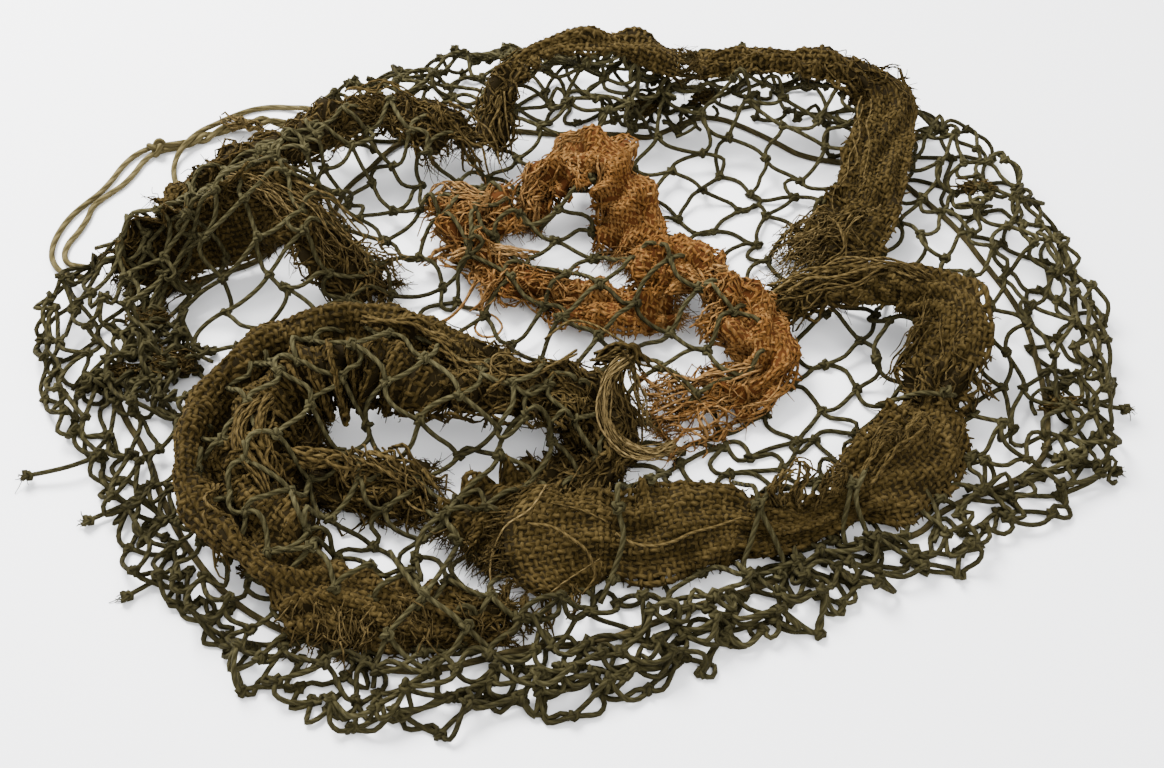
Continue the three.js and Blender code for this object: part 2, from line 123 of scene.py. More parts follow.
PAIR_MIDDLE = [  # the line midway between the pair, past its knot
    (-204.5, 132, 2), (-195.5, 135, 1.6), (-187.5, 140, 1.6), (-179.5, 146, 1.8), (-171.5, 149, 2.4),
    (-163.5, 149.5, 4), (-156, 147.5, 6), (-149, 146, 5.4), (-143, 144.5, 4.2),
]
WIND_LAY = 21  # along that line for one full turn of each cord round it
WIND_REACH = 1.45  # from that line out to the middle of each cord
WIND_RISE = 1.1  # of that line, because the wound cords are thicker than one
WIND_POINTS = slice(3, None, 4)  # which of its points the cords follow
STEEP = 0.8  # past this rise, a tube's first section is set out from sideways and not from upwards


def unit(vectors):
    """Vectors of length one, in an array of any shape whose last axis is x, y, z."""
    return vectors / np.maximum(np.linalg.norm(vectors, axis=-1, keepdims=True), 1e-9)


def through(points, shares, closed=False):
    """A smooth line through points, at shares of its run from 0 to 1: a Catmull-Rom curve whose
    parts are as long to it as the roots of their lengths, so that it turns without loops."""
    points = np.asarray(points, float)
    if closed:
        points = np.concatenate([points[-1:], points, points[:2]])
    else:
        points = np.concatenate([[2 * points[0] - points[1]], points, [2 * points[-1] - points[-2]]])
    spans = len(points) - 3
    first = np.minimum((np.asarray(shares) * spans).astype(int), spans - 1)
    p0, p1, p2, p3 = (points[first + k] for k in range(4))
    t1, t2, t3 = (
        np.maximum(np.linalg.norm(b - a, axis=1), 1e-6) ** 0.5 for a, b in ((p0, p1), (p1, p2), (p2, p3))
    )
    t1, t2, t3 = t1[:, None], (t1 + t2)[:, None], (t1 + t2 + t3)[:, None]
    t = t1 + (np.asarray(shares) * spans - first)[:, None] * (t2 - t1)
    a1 = p0 + (p1 - p0) * t / t1
    a2 = p1 + (p2 - p1) * (t - t1) / (t2 - t1)
    a3 = p2 + (p3 - p2) * (t - t2) / (t3 - t2)
    b1 = a1 + (a2 - a1) * t / t2
    b2 = a2 + (a3 - a2) * (t - t1) / (t3 - t1)
    return b1 + (b2 - b1) * (t - t1) / (t2 - t1)


def run_of(lines):
    """How far along its line each point lies, for lines of shape (count, points, 3)."""
    steps = np.linalg.norm(np.diff(lines, axis=1), axis=2)
    return np.concatenate([np.zeros((len(lines), 1)), np.cumsum(steps, axis=1)], axis=1)


def read_along(wanted, run, columns):
    """Each column of values known along a line, read off at other distances along it."""
    return np.stack([np.interp(wanted, run, column) for column in columns.T], axis=-1)


def even(points, step, closed=False):
    """A smooth line through points as points an even step apart."""
    fine = through(points, np.linspace(0, 1, FINE_POINTS * len(points)), closed)
    run = run_of(fine[None])[0]
    return read_along(np.linspace(0, run[-1], max(2, int(round(run[-1] / step)) + 1)), run, fine)


def walls_of(here, beside):
    """Four corners of every wall between rings of corners, or of what a map has at them."""
    return np.stack([here[:, :-1], beside[:, :-1], beside[:, 1:], here[:, 1:]], axis=3)


def tubes(lines, radius, sides, shade, up=None, flat=1.0):
    """Closed tubes along lines of shape (count, points, 3): corners, faces and what a finish reads.
    The section is an ellipse, thinned by flat across its up direction."""
    lines = np.asarray(lines, float)
    count, points, _ = lines.shape
    along = unit(np.gradient(lines, axis=1))
    if up is None:
        up = np.empty_like(lines)
        up[:, 0] = np.where(np.abs(along[:, 0, 2:]) < STEEP, (0.0, 0.0, 1.0), (1.0, 0.0, 0.0))
        for k in range(points):
            held = up[:, max(k - 1, 0)]
            up[:, k] = unit(held - along[:, k] * np.sum(held * along[:, k], axis=-1, keepdims=True))
    else:
        up = unit(up - along * np.sum(up * along, axis=-1, keepdims=True))
    across = np.cross(along, up)
    turn = np.arange(sides) / sides * 2 * np.pi
    radius = np.broadcast_to(np.asarray(radius, float), (count, points))[:, :, None, None]
    corners = lines[:, :, None] + radius * (
        across[:, :, None] * np.cos(turn)[:, None] + up[:, :, None] * np.sin(turn)[:, None] * flat
    )
    index = np.arange(count * points * sides).reshape(count, points, sides)
    walls = walls_of(index, np.roll(index, -1, axis=2)).reshape(-1, 4)
    run = run_of(lines)[:, :, None] * MM + np.zeros(sides)
    around = np.broadcast_to(np.arange(sides) / sides, run.shape)
    low = np.stack([run, around], axis=-1)
    high = np.stack([run, around + 1 / sides], axis=-1)
    wall_map = walls_of(low, high).reshape(-1, 4, 2)
    ends = np.concatenate([index[:, 0, ::-1], index[:, -1]])
    end_map = np.concatenate([low[:, 0, ::-1], low[:, -1]])
    shades = np.broadcast_to(np.broadcast_to(shade, (count, points))[..., None], (count, points, sides))
    return {
        "corners": corners.reshape(-1, 3),
        "faces": [(walls, wall_map), (ends, end_map)],
        "shades": shades.reshape(-1),
    }


def piece_of(name, parts, finish):
    """One object in its place from parts that tubes or another maker of faces gives."""
    corners = np.concatenate([part["corners"] for part in parts]) * MM
    shades = np.concatenate([part["shades"] for part in parts])
    loops, counts, maps, start = [], [], [], 0
    for part in parts:
        for faces, corner_map in part["faces"]:
            loops.append((faces + start).ravel())
            counts.append(np.full(len(faces), faces.shape[1]))
            maps.append(corner_map.reshape(-1, 2))
        start += len(part["corners"])
    loops, counts, maps = (np.concatenate(each) for each in (loops, counts, maps))
    mesh = bpy.data.meshes.new(name)
    mesh.vertices.add(len(corners))
    mesh.vertices.foreach_set("co", corners.ravel())
    mesh.loops.add(len(loops))
    mesh.loops.foreach_set("vertex_index", loops)
    mesh.polygons.add(len(counts))
    mesh.polygons.foreach_set("loop_start", np.cumsum(counts) - counts)
    mesh.polygons.foreach_set("loop_total", counts)
    mesh.polygons.foreach_set("use_smooth", np.ones(len(counts), bool))
    mesh.uv_layers.new(name="run").data.foreach_set("uv", maps.ravel())
    mesh.attributes.new("shade", "FLOAT", "POINT").data.foreach_set("value", shades)
    mesh.update()
    mesh.validate()
    made = bpy.data.objects.new(name, mesh)
    bpy.context.collection.objects.link(made)
    mesh.materials.append(finish)
    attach(made, "root")
    return made


PATCHES = 38.0  # patches of deep and faded colour to a metre
STREAKS = (420.0, 9.0, 60.0)  # streaks of fibre: to a metre, round a yarn, and between the shades
# The wave's share of the tone is painted shade between the twisted strands and painted highlight on them.
TONE_SHARES = {"patch": 0.42, "shade": 0.385, "fibre": 0.35, "wave": 0.0595}  # of a point's tone
TONE_BASE = -0.175
COLOURS_AT = (0.06, 0.35, 0.66, 1.0)  # the tones of a finish's four colours
FIBRE_RISE = 1.1  # beside the rise of a strand
RELIEF_STRENGTH = 0.8
FIBRE_SURFACE = {"Roughness": 0.92, "Specular IOR Level": 0.06, "Sheen Roughness": 0.6}


def add(tree, kind, inputs=None, **settings):
    """A shader node. An input is a plain value or the output of another node."""
    made = tree.nodes.new("ShaderNode" + kind)
    for name, value in settings.items():
        setattr(made, name, value)
    for name, value in (inputs or {}).items():
        if isinstance(value, bpy.types.NodeSocket):
            tree.links.new(value, made.inputs[name])
        else:
            made.inputs[name].default_value = value
    return made


def worked_out(tree, operation, *values):
    """What a Math node gives for plain values or the outputs of other nodes."""
    return add(tree, "Math", dict(enumerate(values)), operation=operation).outputs[0]


def twisted_finish(name, colours, lay, strands, relief, sheen):
    """Spun fibre: dark to pale colours by yarn and by patch, darker between its twisted strands and
    paler on them, a painted shade and painted highlight of the strands' relief, with a soft nap. In
    metres, lay is the length of one full turn of a strand, and relief is how far the strands stand out."""
    finish = bpy.data.materials.new(name)
    finish.use_nodes = True
    tree = finish.node_tree
    shader = tree.nodes["Principled BSDF"]
    place = add(tree, "TexCoord").outputs["Object"]
    run = add(tree, "SeparateXYZ", {"Vector": add(tree, "UVMap", uv_map="run").outputs["UV"]})
    turns = worked_out(tree, "MULTIPLY", run.outputs["X"], 1 / lay)
    strand = worked_out(tree, "MULTIPLY_ADD", run.outputs["Y"], strands, turns)
    shade = add(tree, "Attribute", attribute_name="shade").outputs["Fac"]
    streak = add(tree, "CombineXYZ", {"X": run.outputs["X"], "Y": run.outputs["Y"], "Z": shade})
    streak = add(tree, "VectorMath", {0: streak.outputs[0], 1: STREAKS}, operation="MULTIPLY")
    fibre = {"Vector": streak.outputs[0], "Scale": 1.0, "Detail": 4.0, "Roughness": 0.7}
    fields = {
        "patch": add(tree, "TexNoise", {"Vector": place, "Scale": PATCHES, "Detail": 3.0}).outputs["Fac"],
        "shade": shade,
        "fibre": add(tree, "TexNoise", fibre).outputs["Fac"],
        "wave": worked_out(tree, "SINE", worked_out(tree, "MULTIPLY", strand, 2 * np.pi)),
    }
    tone = TONE_BASE
    for field, share in TONE_SHARES.items():
        tone = worked_out(tree, "MULTIPLY_ADD", fields[field], share, tone)
    ramp = add(tree, "ValToRGB", {"Fac": tone})
    for at in COLOURS_AT[1:3]:
        ramp.color_ramp.elements.new(at)
    for element, at, colour in zip(ramp.color_ramp.elements, COLOURS_AT, colours):
        element.position = at
        element.color = (*colour, 1)
    height = worked_out(tree, "MULTIPLY_ADD", fields["fibre"], FIBRE_RISE, fields["wave"])
    bump = add(tree, "Bump", {"Height": height, "Distance": relief, "Strength": RELIEF_STRENGTH})
    tree.links.new(ramp.outputs["Color"], shader.inputs["Base Color"])
    tree.links.new(bump.outputs["Normal"], shader.inputs["Normal"])
    surface = {**FIBRE_SURFACE, "Sheen Weight": sheen, "Sheen Tint": (*colours[2], 1)}
    for quality, value in surface.items():
        shader.inputs[quality].default_value = value
    return finish


draw_cord = twisted_finish(
    "draw_cord", [(0.022, 0.017, 0.006), (0.06, 0.047, 0.018), (0.125, 0.1, 0.045), (0.16, 0.13, 0.06)],
    lay=0.009, strands=3, relief=0.0004, sheen=0.12,
)

# Past the knot the pair is wound: each cord circles the line midway between them.
wound_middle = even(PAIR_MIDDLE, CORD_STEP) + (0, 0, WIND_RISE)
wound_turn = run_of(wound_middle[None])[0] / WIND_LAY * 2 * np.pi
wound_side = unit(np.cross(np.gradient(wound_middle, axis=0), (0, 0, 1)))
for tie_name, route in TIES.items():
    if tie_name != "tie_single":
        turn = (wound_turn + (np.pi if tie_name == "tie_inner" else 0))[:, None]
        circle = wound_side * np.cos(turn) + np.array([0, 0, 1]) * np.sin(turn)
        route = [*route, *(wound_middle + WIND_REACH * circle)[WIND_POINTS]]
    line = even(route, CORD_STEP)
    tie_tube = tubes(line[None], CORD_THICK / 2, CORD_SIDES, TIE_SHADE)
    tie = piece_of(tie_name + "_cord", [tie_tube], draw_cord)
    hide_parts(tie_name)


def knot_lines(at, along, size, points):
    """The line of a small overhand knot at each place, as a trefoil laid along each direction."""
    turn = np.linspace(0, 2 * np.pi, points)
    x = (np.sin(turn) + 2 * np.sin(2 * turn)) / 3
    y = (np.cos(turn) - 2 * np.cos(2 * turn)) / 3
    z = -np.sin(3 * turn) / 2
    along = unit(np.asarray(along, float))
    side = unit(np.cross((0.0, 0.03, 1.0), along))
    rise = np.cross(along, side)
    size = np.asarray(size, float).reshape(-1, 1, 1)
    return np.asarray(at)[:, None] + size * (
        along[:, None] * x[:, None] + side[:, None] * y[:, None] + rise[:, None] * z[:, None]
    )


pair_knot_line = knot_lines([PAIR_KNOT["at"]], [PAIR_KNOT["way"]], PAIR_KNOT["size"], PAIR_KNOT["points"])
pair_knot = piece_of(
    "tie_knot", [tubes(pair_knot_line, CORD_THICK / 2, CORD_SIDES, PAIR_KNOT["shade"])],
    draw_cord,
)

# ---- the drawcord in the mouth ------------------------------------------------------------
# The rest of the drawcord runs all round inside the mouth of the net, on the table. It is the
# same cord, threaded through the last row of meshes.
RIM = np.array([  # bearing, reach from the middle, how high the net swells, how deep it turns under
    (0, 239, 15, 30), (18, 240, 20, 38), (34, 244, 20, 46), (49, 221, 26, 46), (65, 224, 25, 46),
    (76, 196, 30, 46), (92, 194, 33, 46), (108, 203, 26, 46), (122, 213, 20, 46), (135, 203, 20, 46),
    (147, 192, 24, 46), (160, 206, 24, 46), (176, 243, 16, 40), (188, 235, 12, 30), (203, 214, 9, 20),
    (226, 214, 7, 18), (246, 215, 7, 26), (268, 190, 7, 25), (290, 177, 7, 22), (308, 181, 7, 22),
    (325, 204, 8, 22), (342, 237, 11, 24), (360, 239, 15, 30),
])
REACH, SWELL, UNDER = 1, 2, 3  # the rim's columns
DRAWCORD_INSET = 4.2
DRAWCORD_BENDS = 96
DRAWCORD_STEP = 2.4
DRAWCORD_SHADE = -0.2


def smooth(low, high, value):
    """An even S from 0 at low to 1 at high."""
    share = np.clip((value - low) / (high - low), 0, 1)
    return share * share * (3 - 2 * share)


def around_rim(turn, column):
    """A column of the rim's table at any bearing in degrees, rounded between its rows."""
    turn = np.mod(turn, 360)
    row = np.clip(np.searchsorted(RIM[:, 0], turn, side="right") - 1, 0, len(RIM) - 2)
    share = smooth(RIM[row, 0], RIM[row + 1, 0], turn)
    return RIM[row, column] * (1 - share) + RIM[row + 1, column] * share


def at_bearing(turn, reach, height):
    """Places that lie at a bearing in degrees, a reach from the middle and a height."""
    angle = np.radians(turn)
    return np.stack(np.broadcast_arrays(reach * np.cos(angle), reach * np.sin(angle), height), axis=-1)


bearing = np.linspace(0, 360, DRAWCORD_BENDS, endpoint=False)
mouth_reach = around_rim(bearing, REACH) - around_rim(bearing, UNDER) - DRAWCORD_INSET
mouth_line = even(at_bearing(bearing, mouth_reach, CORD_THICK / 2), DRAWCORD_STEP, closed=True)
drawcord = piece_of(
    "mouth_cord", [tubes(mouth_line[None], CORD_THICK / 2, CORD_SIDES, DRAWCORD_SHADE)],
    draw_cord,
)
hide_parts("drawcord")

# ---- the hessian strips -------------------------------------------------------------------
# Ten strips cut from olive and rust hessian, a plain weave of thick single jute yarns, are woven
# through the net. They are pinched into pleats, curled at the edges, and frayed at their ends.
PITCH = {"olive": 2.75, "rust": 2.2}  # from one yarn to the next
YARN_WIDE = 0.88  # of the pitch
YARN_FLAT = 0.5  # its thickness as a share of its width
WEAVE_RISE = 0.17  # how far a yarn's middle lies over or under the cloth's, as a share of the pitch
PLAIN_STRIP = {
    "dye": "olive",
    "cut": 46,  # width before it was laid
    "pleats": 3,  # across it
    "fine": 1,  # steps of a yarn from one crossing to the next
    "worn": 1,  # how uneven the weave is
    # On the two back strips, paler stands for painted light from the lamp behind them.
    "paler": 0,  # how much paler its yarns are than most
    "rounded": 0,  # how far the corners of its last end are worn back
    # The ground between the yarns is a dark sheet of painted shade.
    "bare": 0,  # how much of its last end has thin yarns and no ground between them
}
# What else each strip has, and what differs from a plain one. crumple: height of its small dents;
# ruffle: height of the folds across its right half; matted: shares of its length between which the
# weave is worn to a mat of fibres; rows: one for each bend, x y z, laid width, bank of its left edge,
# and curl of its left and right half; loose: bundles of yarns worked out of it, how many, how thick,
# how far they lie apart at the start and the end, their shade, and the way they run.
STRIPS = {
    "scrim_front": {
        "cut": 48, "crumple": 0.8, "ruffle": 0.8, "fine": 2, "worn": 0.35, "rounded": 13,
        "matted": [(0, 0.08), (0.33, 0.37)],
        "rows": [
            (92, 13, 15, 30, -8, 90, 50), (113, 15, 22, 28, -8, 110, 60), (134, 14, 28, 30, -6, 100, 60),
            (150, 8, 32, 32, 12, 80, 60), (160, -7, 31, 34, 35, 50, 40), (158, -25, 27, 38, 28, 36, 30),
            (154, -39, 20, 34, 12, 40, 30), (151, -51, 15, 24, 0, 60, 60), (149, -63, 17, 38, -18, 24, 24),
            (142, -76, 18, 42, -20, 20, 24), (130, -88, 16, 42, -20, 26, 26),
            (118, -95, 15, 34, -20, 30, 26), (109, -101, 13, 19, -10, 60, 50),
            (100, -106, 12, 17, -10, 50, 40), (88, -110, 12, 21, -14, 40, 40),
            (77, -112, 13, 23, -14, 50, 40), (70, -112, 13, 28, -16, 50, 40),
            (63, -111, 14, 34, -18, 30, 30), (46, -114, 16, 40, -20, 22, 22),
            (29, -118, 15, 38, -20, 24, 24), (19, -118, 14, 35, -20, 40, 40),
            (10, -118, 15, 38, -20, 24, 22), (-5, -121, 16, 42, -20, 22, 20),
            (-27, -124, 14, 44, -18, 16, 16),
        ],
        "loose": [
            (1, 0.72, (0, 0), 1.4, [
                (-10, -102, 24), (-16, -112, 22), (-26, -118, 18), (-31, -129, 12), (-30, -139, 7),
                (-22, -146, 5), (-12, -144, 7), (-3, -138, 10), (5, -133, 12), (11, -129, 13),
            ]),
            (1, 0.7, (0, 0), 1.35, [
                (-17, -117, 19), (-8, -119, 20), (0, -124, 19), (6, -128, 16), (9, -135, 10), (4, -141, 6),
            ]),
            (1, 0.72, (0, 0), 1.35, [
                (17, -120, 17), (24, -125, 17), (31, -126, 17), (39, -124, 17), (46, -120, 17),
                (56, -116, 16), (67, -112, 17),
            ]),
            (1, 0.63, (0, 0), 1, [(15, -116, 18), (4, -112, 21), (-8, -109, 22)]),
            (12, 0.61, (1.7, 3.2), 0.9, [(-26, -138, 7), (-26, -146, 3), (-27, -151, 1.5)]),
            (10, 0.61, (1.7, 3.2), 0.95, [(-18, -141, 7), (-18, -149, 3), (-17, -155, 1.5)]),
            (10, 0.61, (1.7, 3.2), 0.9, [(-9, -140, 6), (-9, -148, 3), (-10, -154, 1.5)]),
            (7, 0.61, (1.7, 2.4), 0.85, [(1, -136, 6), (2, -143, 3), (0, -148, 1.5)]),
            (8, 0.72, (1.7, 2.4), 0.9, [(82, -104, 14), (80, -101, 20), (82, -99, 26), (86, -98, 28)]),
            (8, 0.72, (1.7, 2.4), 0.95, [(90, -103, 14), (90, -99, 20), (93, -96, 25), (90, -94, 28)]),
            (8, 0.72, (1.7, 2.4), 0.9, [(98, -103, 13), (100, -99, 19), (103, -97, 24), (106, -97, 25)]),
            (7, 0.72, (1.7, 2.4), 0.85, [(106, -101, 13), (108, -97, 18), (106, -94, 23), (103, -94, 24)]),
            (1, 0.57, (0, 0), 1.15, [
                (86, -99, 24), (85, -98, 30), (88, -96, 34), (93, -97, 33), (94, -99, 29),
            ]),
            (3, 0.63, (1, 2), 0.9, [(112, -98, 15), (119, -88, 21), (126, -78, 25), (133, -73, 25)]),
            (3, 0.63, (1, 2), 0.85, [(118, -96, 16), (128, -85, 21), (138, -76, 24), (146, -70, 22)]),
            (5, 0.65, (1.7, 2.4), 0.9, [(121, -83, 20), (124, -76, 25), (130, -73, 26), (133, -78, 22)]),
            (4, 0.65, (1.7, 2.4), 0.9, [(134, -77, 20), (139, -70, 25), (145, -68, 24), (146, -73, 20)]),
            (8, 0.72, (4.2, 2.4), 0.9, [
                (88, 11, 14), (104, 15, 23), (122, 15, 29), (140, 12, 33), (153, 3, 35),
            ]),
            (7, 0.72, (2.5, 3.2), 0.85, [(142, 12, 32), (120, 10, 27), (100, 8, 20), (86, 6, 12)]),
            (4, 0.5, (2.5, 3.2), 0.8, [(154, -4, 30), (146, -18, 22), (138, -28, 14)]),
            (4, 0.5, (2.5, 3.2), 0.8, [(152, -14, 26), (141, -24, 15), (134, -33, 6)]),
            (8, 0.65, (1.7, 3.2), 0.9, [(166, -38, 19), (174, -39, 14), (179, -41, 8)]),
        ],
    },
    "scrim_loop": {
        "cut": 66, "pleats": 4, "crumple": 0.9, "ruffle": 3.6, "fine": 2, "paler": 0.04,
        "matted": [(0, 0.025), (0.66, 0.9)],
        "rows": [
            (-26, -150, 8, 26, -10, 60, 90), (-42, -150, 11, 32, -10, 60, 120),
            (-60, -147, 13, 40, -14, 40, 180), (-82, -143, 15, 46, -16, 24, 210),
            (-104, -136, 18, 48, -14, 30, 200), (-126, -124, 23, 44, 0, 120, -20),
            (-142, -106, 26, 52, 0, 180, -44), (-148, -82, 27, 62, 0, 190, -48),
            (-143, -56, 29, 62, 0, 190, -50), (-128, -36, 31, 62, 0, 190, -50),
            (-108, -26, 33, 62, 0, 190, -46), (-86, -23, 34, 60, 0, 190, -40),
            (-66, -28, 33, 54, 0, 180, -20), (-47, -37, 31, 46, 0, 150, 10),
            (-28, -44, 29, 44, -4, 110, 40), (-8, -48, 25, 44, -8, 60, 40), (8, -53, 19, 38, -8, 40, 40),
            (12, -65, 12, 34, 0, 40, 40), (5, -80, 8, 34, 0, 40, 40), (-13, -96, 10, 34, -10, 30, 40),
            (-31, -108, 12, 36, -16, 20, 40), (-42, -120, 10, 34, -16, 10, 20),
        ],
        "loose": [
            (20, 0.55, (1.8, 3), 1.75, [
                (24, -46, 38), (19, -49, 36), (15, -53, 31), (13, -59, 24), (15, -66, 17), (20, -71, 11),
                (28, -73, 8), (37, -71, 6), (44, -66, 5),
            ]),
            (10, 0.5, (1.4, 2.6), 1.5, [
                (24, -46, 37), (25, -50, 32), (27, -55, 25), (29, -60, 18), (33, -62, 10),
            ]),
            (14, 0.9, (2.4, 2.6), 0.55, [(10, -38, 27), (17, -41, 35), (24, -44, 39), (29, -48, 34)]),
            (8, 0.7, (1.6, 2.8), 0.9, [(24, -44, 38), (19, -50, 32), (21, -57, 23), (27, -60, 14)]),
            (2, 0.69, (0.8, 1.5), 1.15, [
                (2, -35, 29), (-8, -44, 31), (-18, -51, 31), (-28, -53, 32), (-33, -50, 35), (-31, -43, 36),
                (-23, -40, 33),
            ]),
            (1, 0.7, (0, 0), 1.35, [
                (-12, -24, 25), (-1, -20, 32), (9, -26, 36), (19, -36, 38), (28, -39, 33), (39, -41, 25),
                (49, -46, 17), (57, -49, 9),
            ]),
            (14, 0.72, (2.5, 4), 0.95, [
                (-138, -104, 24), (-140, -114, 26), (-136, -124, 22), (-132, -131, 14),
            ]),
            (16, 0.42, (3.2, 4.2), 0.9, [(-104, -150, 13), (-104, -157, 8), (-106, -163, 3)]),
            (16, 0.42, (3.2, 4.2), 1, [(-95, -151, 13), (-94, -159, 8), (-95, -166, 3)]),
            (18, 0.42, (3.2, 4.2), 1.1, [(-86, -152, 12), (-84, -160, 7), (-86, -168, 3)]),
            (16, 0.42, (3.2, 4.2), 1, [(-77, -152, 11), (-76, -160, 7), (-78, -168, 2)]),
            (16, 0.42, (3.2, 4.2), 0.9, [(-67, -152, 11), (-65, -159, 7), (-66, -165, 2)]),
            (10, 0.42, (3.4, 4.2), 0.9, [(-58, -150, 14), (-54, -157, 11), (-52, -163, 7), (-52, -168, 3)]),
            (10, 0.42, (3.4, 4.2), 0.9, [(-42, -148, 13), (-37, -154, 10), (-34, -159, 6), (-34, -163, 3)]),
            (5, 0.8, (1.7, 2.4), 0.9, [(-88, -25, 38), (-74, -26, 37), (-60, -31, 36), (-48, -38, 34)]),
            (6, 0.8, (2.5, 3.2), 0.85, [(-60, -36, 34), (-44, -45, 31), (-30, -52, 29), (-16, -55, 26)]),
        ],
    },
    "scrim_gather": {
        "cut": 44, "crumple": 1.8, "ruffle": 2.4,
        "matted": [(0, 1)],
        "rows": [
            (-111, -58, 12, 26, 0, 90, 90), (-111, -74, 14, 30, 0, 90, 90), (-102, -86, 14, 30, 0, 80, 80),
            (-88, -91, 13, 32, 0, 80, 70), (-72, -92, 11, 32, 0, 60, 60), (-58, -93, 8, 28, 0, 40, 40),
        ],
        "loose": [
            (14, 1.01, (1.7, 2.8), 0.85, [
                (-126, -66, 34), (-131, -78, 36), (-129, -90, 33), (-122, -101, 28), (-118, -108, 24),
            ]),
            (12, 1.01, (1.7, 2.8), 0.8, [
                (-121, -66, 34), (-123, -80, 34), (-118, -92, 30), (-113, -102, 24),
            ]),
            (14, 0.87, (2.5, 4.8), 0.9, [(-114, -86, 24), (-104, -88, 23), (-93, -86, 20), (-84, -91, 16)]),
            (14, 0.72, (3.4, 5.6), 0.95, [(-86, -84, 18), (-76, -87, 18), (-66, -92, 14), (-60, -99, 8)]),
            (12, 0.72, (3.4, 4.8), 0.85, [(-78, -78, 16), (-70, -84, 16), (-62, -90, 11), (-56, -98, 5)]),
        ],
    },
    "scrim_left": {
        "crumple": 1.5, "ruffle": 1.8,
        "matted": [(0, 0.3), (0.85, 1)],
        "rows": [
            (-90, 20, 7, 36, 0, 30, 40), (-98, 26, 14, 36, 0, 50, 60), (-107, 33, 24, 34, 0, 60, 70),
            (-118, 41, 34, 32, 0, 60, 60), (-130, 48, 38, 34, -20, 40, 20),
            (-143, 52, 33, 42, -50, 20, -60), (-156, 53, 28, 46, -62, 10, -120),
            (-170, 51, 26, 46, -62, 10, -120), (-182, 45, 22, 42, -55, 10, -90),
            (-191, 34, 17, 36, -40, 20, -30), (-197, 22, 12, 32, -10, 30, 30),
        ],
        "loose": [
            (22, 0.45, (3, 4.4), 1.4, [
                (-156, 57, 43), (-144, 54, 44), (-131, 47, 40), (-119, 38, 33), (-108, 28, 23),
            ]),
            (16, 0.45, (3, 4.6), 1.2, [
                (-150, 60, 43), (-135, 57, 43), (-120, 49, 39), (-105, 40, 31), (-94, 31, 20),
            ]),
            (3, 0.63, (2, 4), 0.95, [
                (-132, 58, 42), (-118, 55, 42), (-104, 47, 36), (-96, 38, 30), (-99, 32, 28),
            ]),
            (14, 0.45, (4.2, 5.4), 1.1, [(-96, 30, 20), (-90, 25, 14), (-86, 19, 8)]),
            (12, 0.45, (3.4, 4.8), 1.1, [(-92, 36, 22), (-84, 34, 19), (-79, 31, 14)]),
        ],
    },
    "scrim_back_left": {
        "crumple": 1.5, "ruffle": 1.8,
        "matted": [(0.1, 1)],
        "rows": [
            (-192, 66, 20, 28, 0, 70, 70), (-172, 77, 30, 30, 0, 70, 70), (-152, 88, 35, 34, 0, 60, 70),
            (-132, 101, 37, 34, 0, 60, 70), (-112, 117, 36, 30, 0, 60, 70), (-92, 127, 34, 28, 0, 60, 70),
            (-73, 124, 29, 36, -8, 40, 40), (-58, 114, 22, 40, -10, 30, 30),
        ],
        "loose": [
            (12, 0.72, (1.7, 3.6), 1.35, [(-158, 138, 9), (-166, 143, 7), (-173, 147, 5), (-178, 148, 3)]),
            (5, 0.72, (2.5, 4), 0.8, [(-110, 126, 40), (-94, 134, 38), (-78, 131, 34)]),
            (8, 0.72, (3.4, 4.8), 0.8, [(-66, 122, 32), (-54, 112, 24), (-46, 104, 12)]),
            (2, 0.63, (1, 3), 1.1, [(-60, 128, 34), (-48, 122, 28), (-38, 112, 16), (-32, 104, 6)]),
        ],
    },
    "scrim_back": {
        # Its paler yarns are painted light from the lamp behind.
        "cut": 30, "pleats": 2, "crumple": 1.3, "ruffle": 1.2, "paler": 0.18,
        "matted": [(0, 0.3)],
        "rows": [
            (-44, 118, 16, 26, 0, 60, 60), (-40, 131, 28, 22, 0, 70, 70), (-32, 143, 40, 18, 0, 80, 80),
            (-20, 153, 48, 16, 0, 90, 90), (-3, 158, 51, 16, 0, 90, 90), (17, 160, 50, 18, 0, 80, 80),
            (36, 159, 46, 24, 0, 60, 60), (53, 157, 40, 26, 0, 50, 50),
        ],
        "loose": [
            (7, 0.72, (1.7, 4), 0.85, [(-38, 134, 34), (-38, 124, 24), (-36, 114, 12)]),
            (1, 0.63, (0, 0), 1.2, [(-34, 134, 36), (-33, 124, 26), (-30, 114, 12), (-25, 107, 4)]),
        ],
    },
    "scrim_back_right": {
        # Its paler yarns are painted light from the lamp behind.
        "crumple": 1.2, "ruffle": 1.4, "paler": 0.04,
        "matted": [(0.36, 0.46), (0.93, 1)],
        "rows": [
            (62, 156, 38, 20, -6, 60, 60), (85, 157, 41, 26, -14, 50, 40), (107, 157, 41, 26, -14, 50, 40),
            (129, 154, 40, 26, -10, 50, 50), (146, 145, 37, 26, 10, 50, 50), (153, 131, 31, 30, 16, 30, 40),
            (149, 112, 27, 32, 6, 30, 30), (143, 91, 24, 32, 4, 30, 30), (137, 71, 19, 34, 4, 20, 20),
            (124, 55, 12, 42, 0, 20, 20), (114, 43, 6, 42, 0, 10, 10),
        ],
        "loose": [
            (16, 0.34, (3, 4.2), 1.5, [(120, 66, 16), (112, 64, 14), (104, 62, 10), (97, 61, 6)]),
            (18, 0.34, (3, 4.2), 1.55, [(116, 57, 13), (108, 54, 11), (100, 51, 8), (93, 49, 4)]),
            (18, 0.34, (3, 4.2), 1.5, [(114, 47, 11), (106, 43, 9), (99, 39, 6), (93, 36, 3)]),
            (14, 0.34, (3, 4.2), 1.4, [(114, 38, 9), (107, 33, 7), (101, 28, 4), (97, 24, 2)]),
            (8, 0.45, (3.6, 4.8), 1.25, [(138, 62, 21), (126, 58, 18), (114, 54, 14), (102, 50, 8)]),
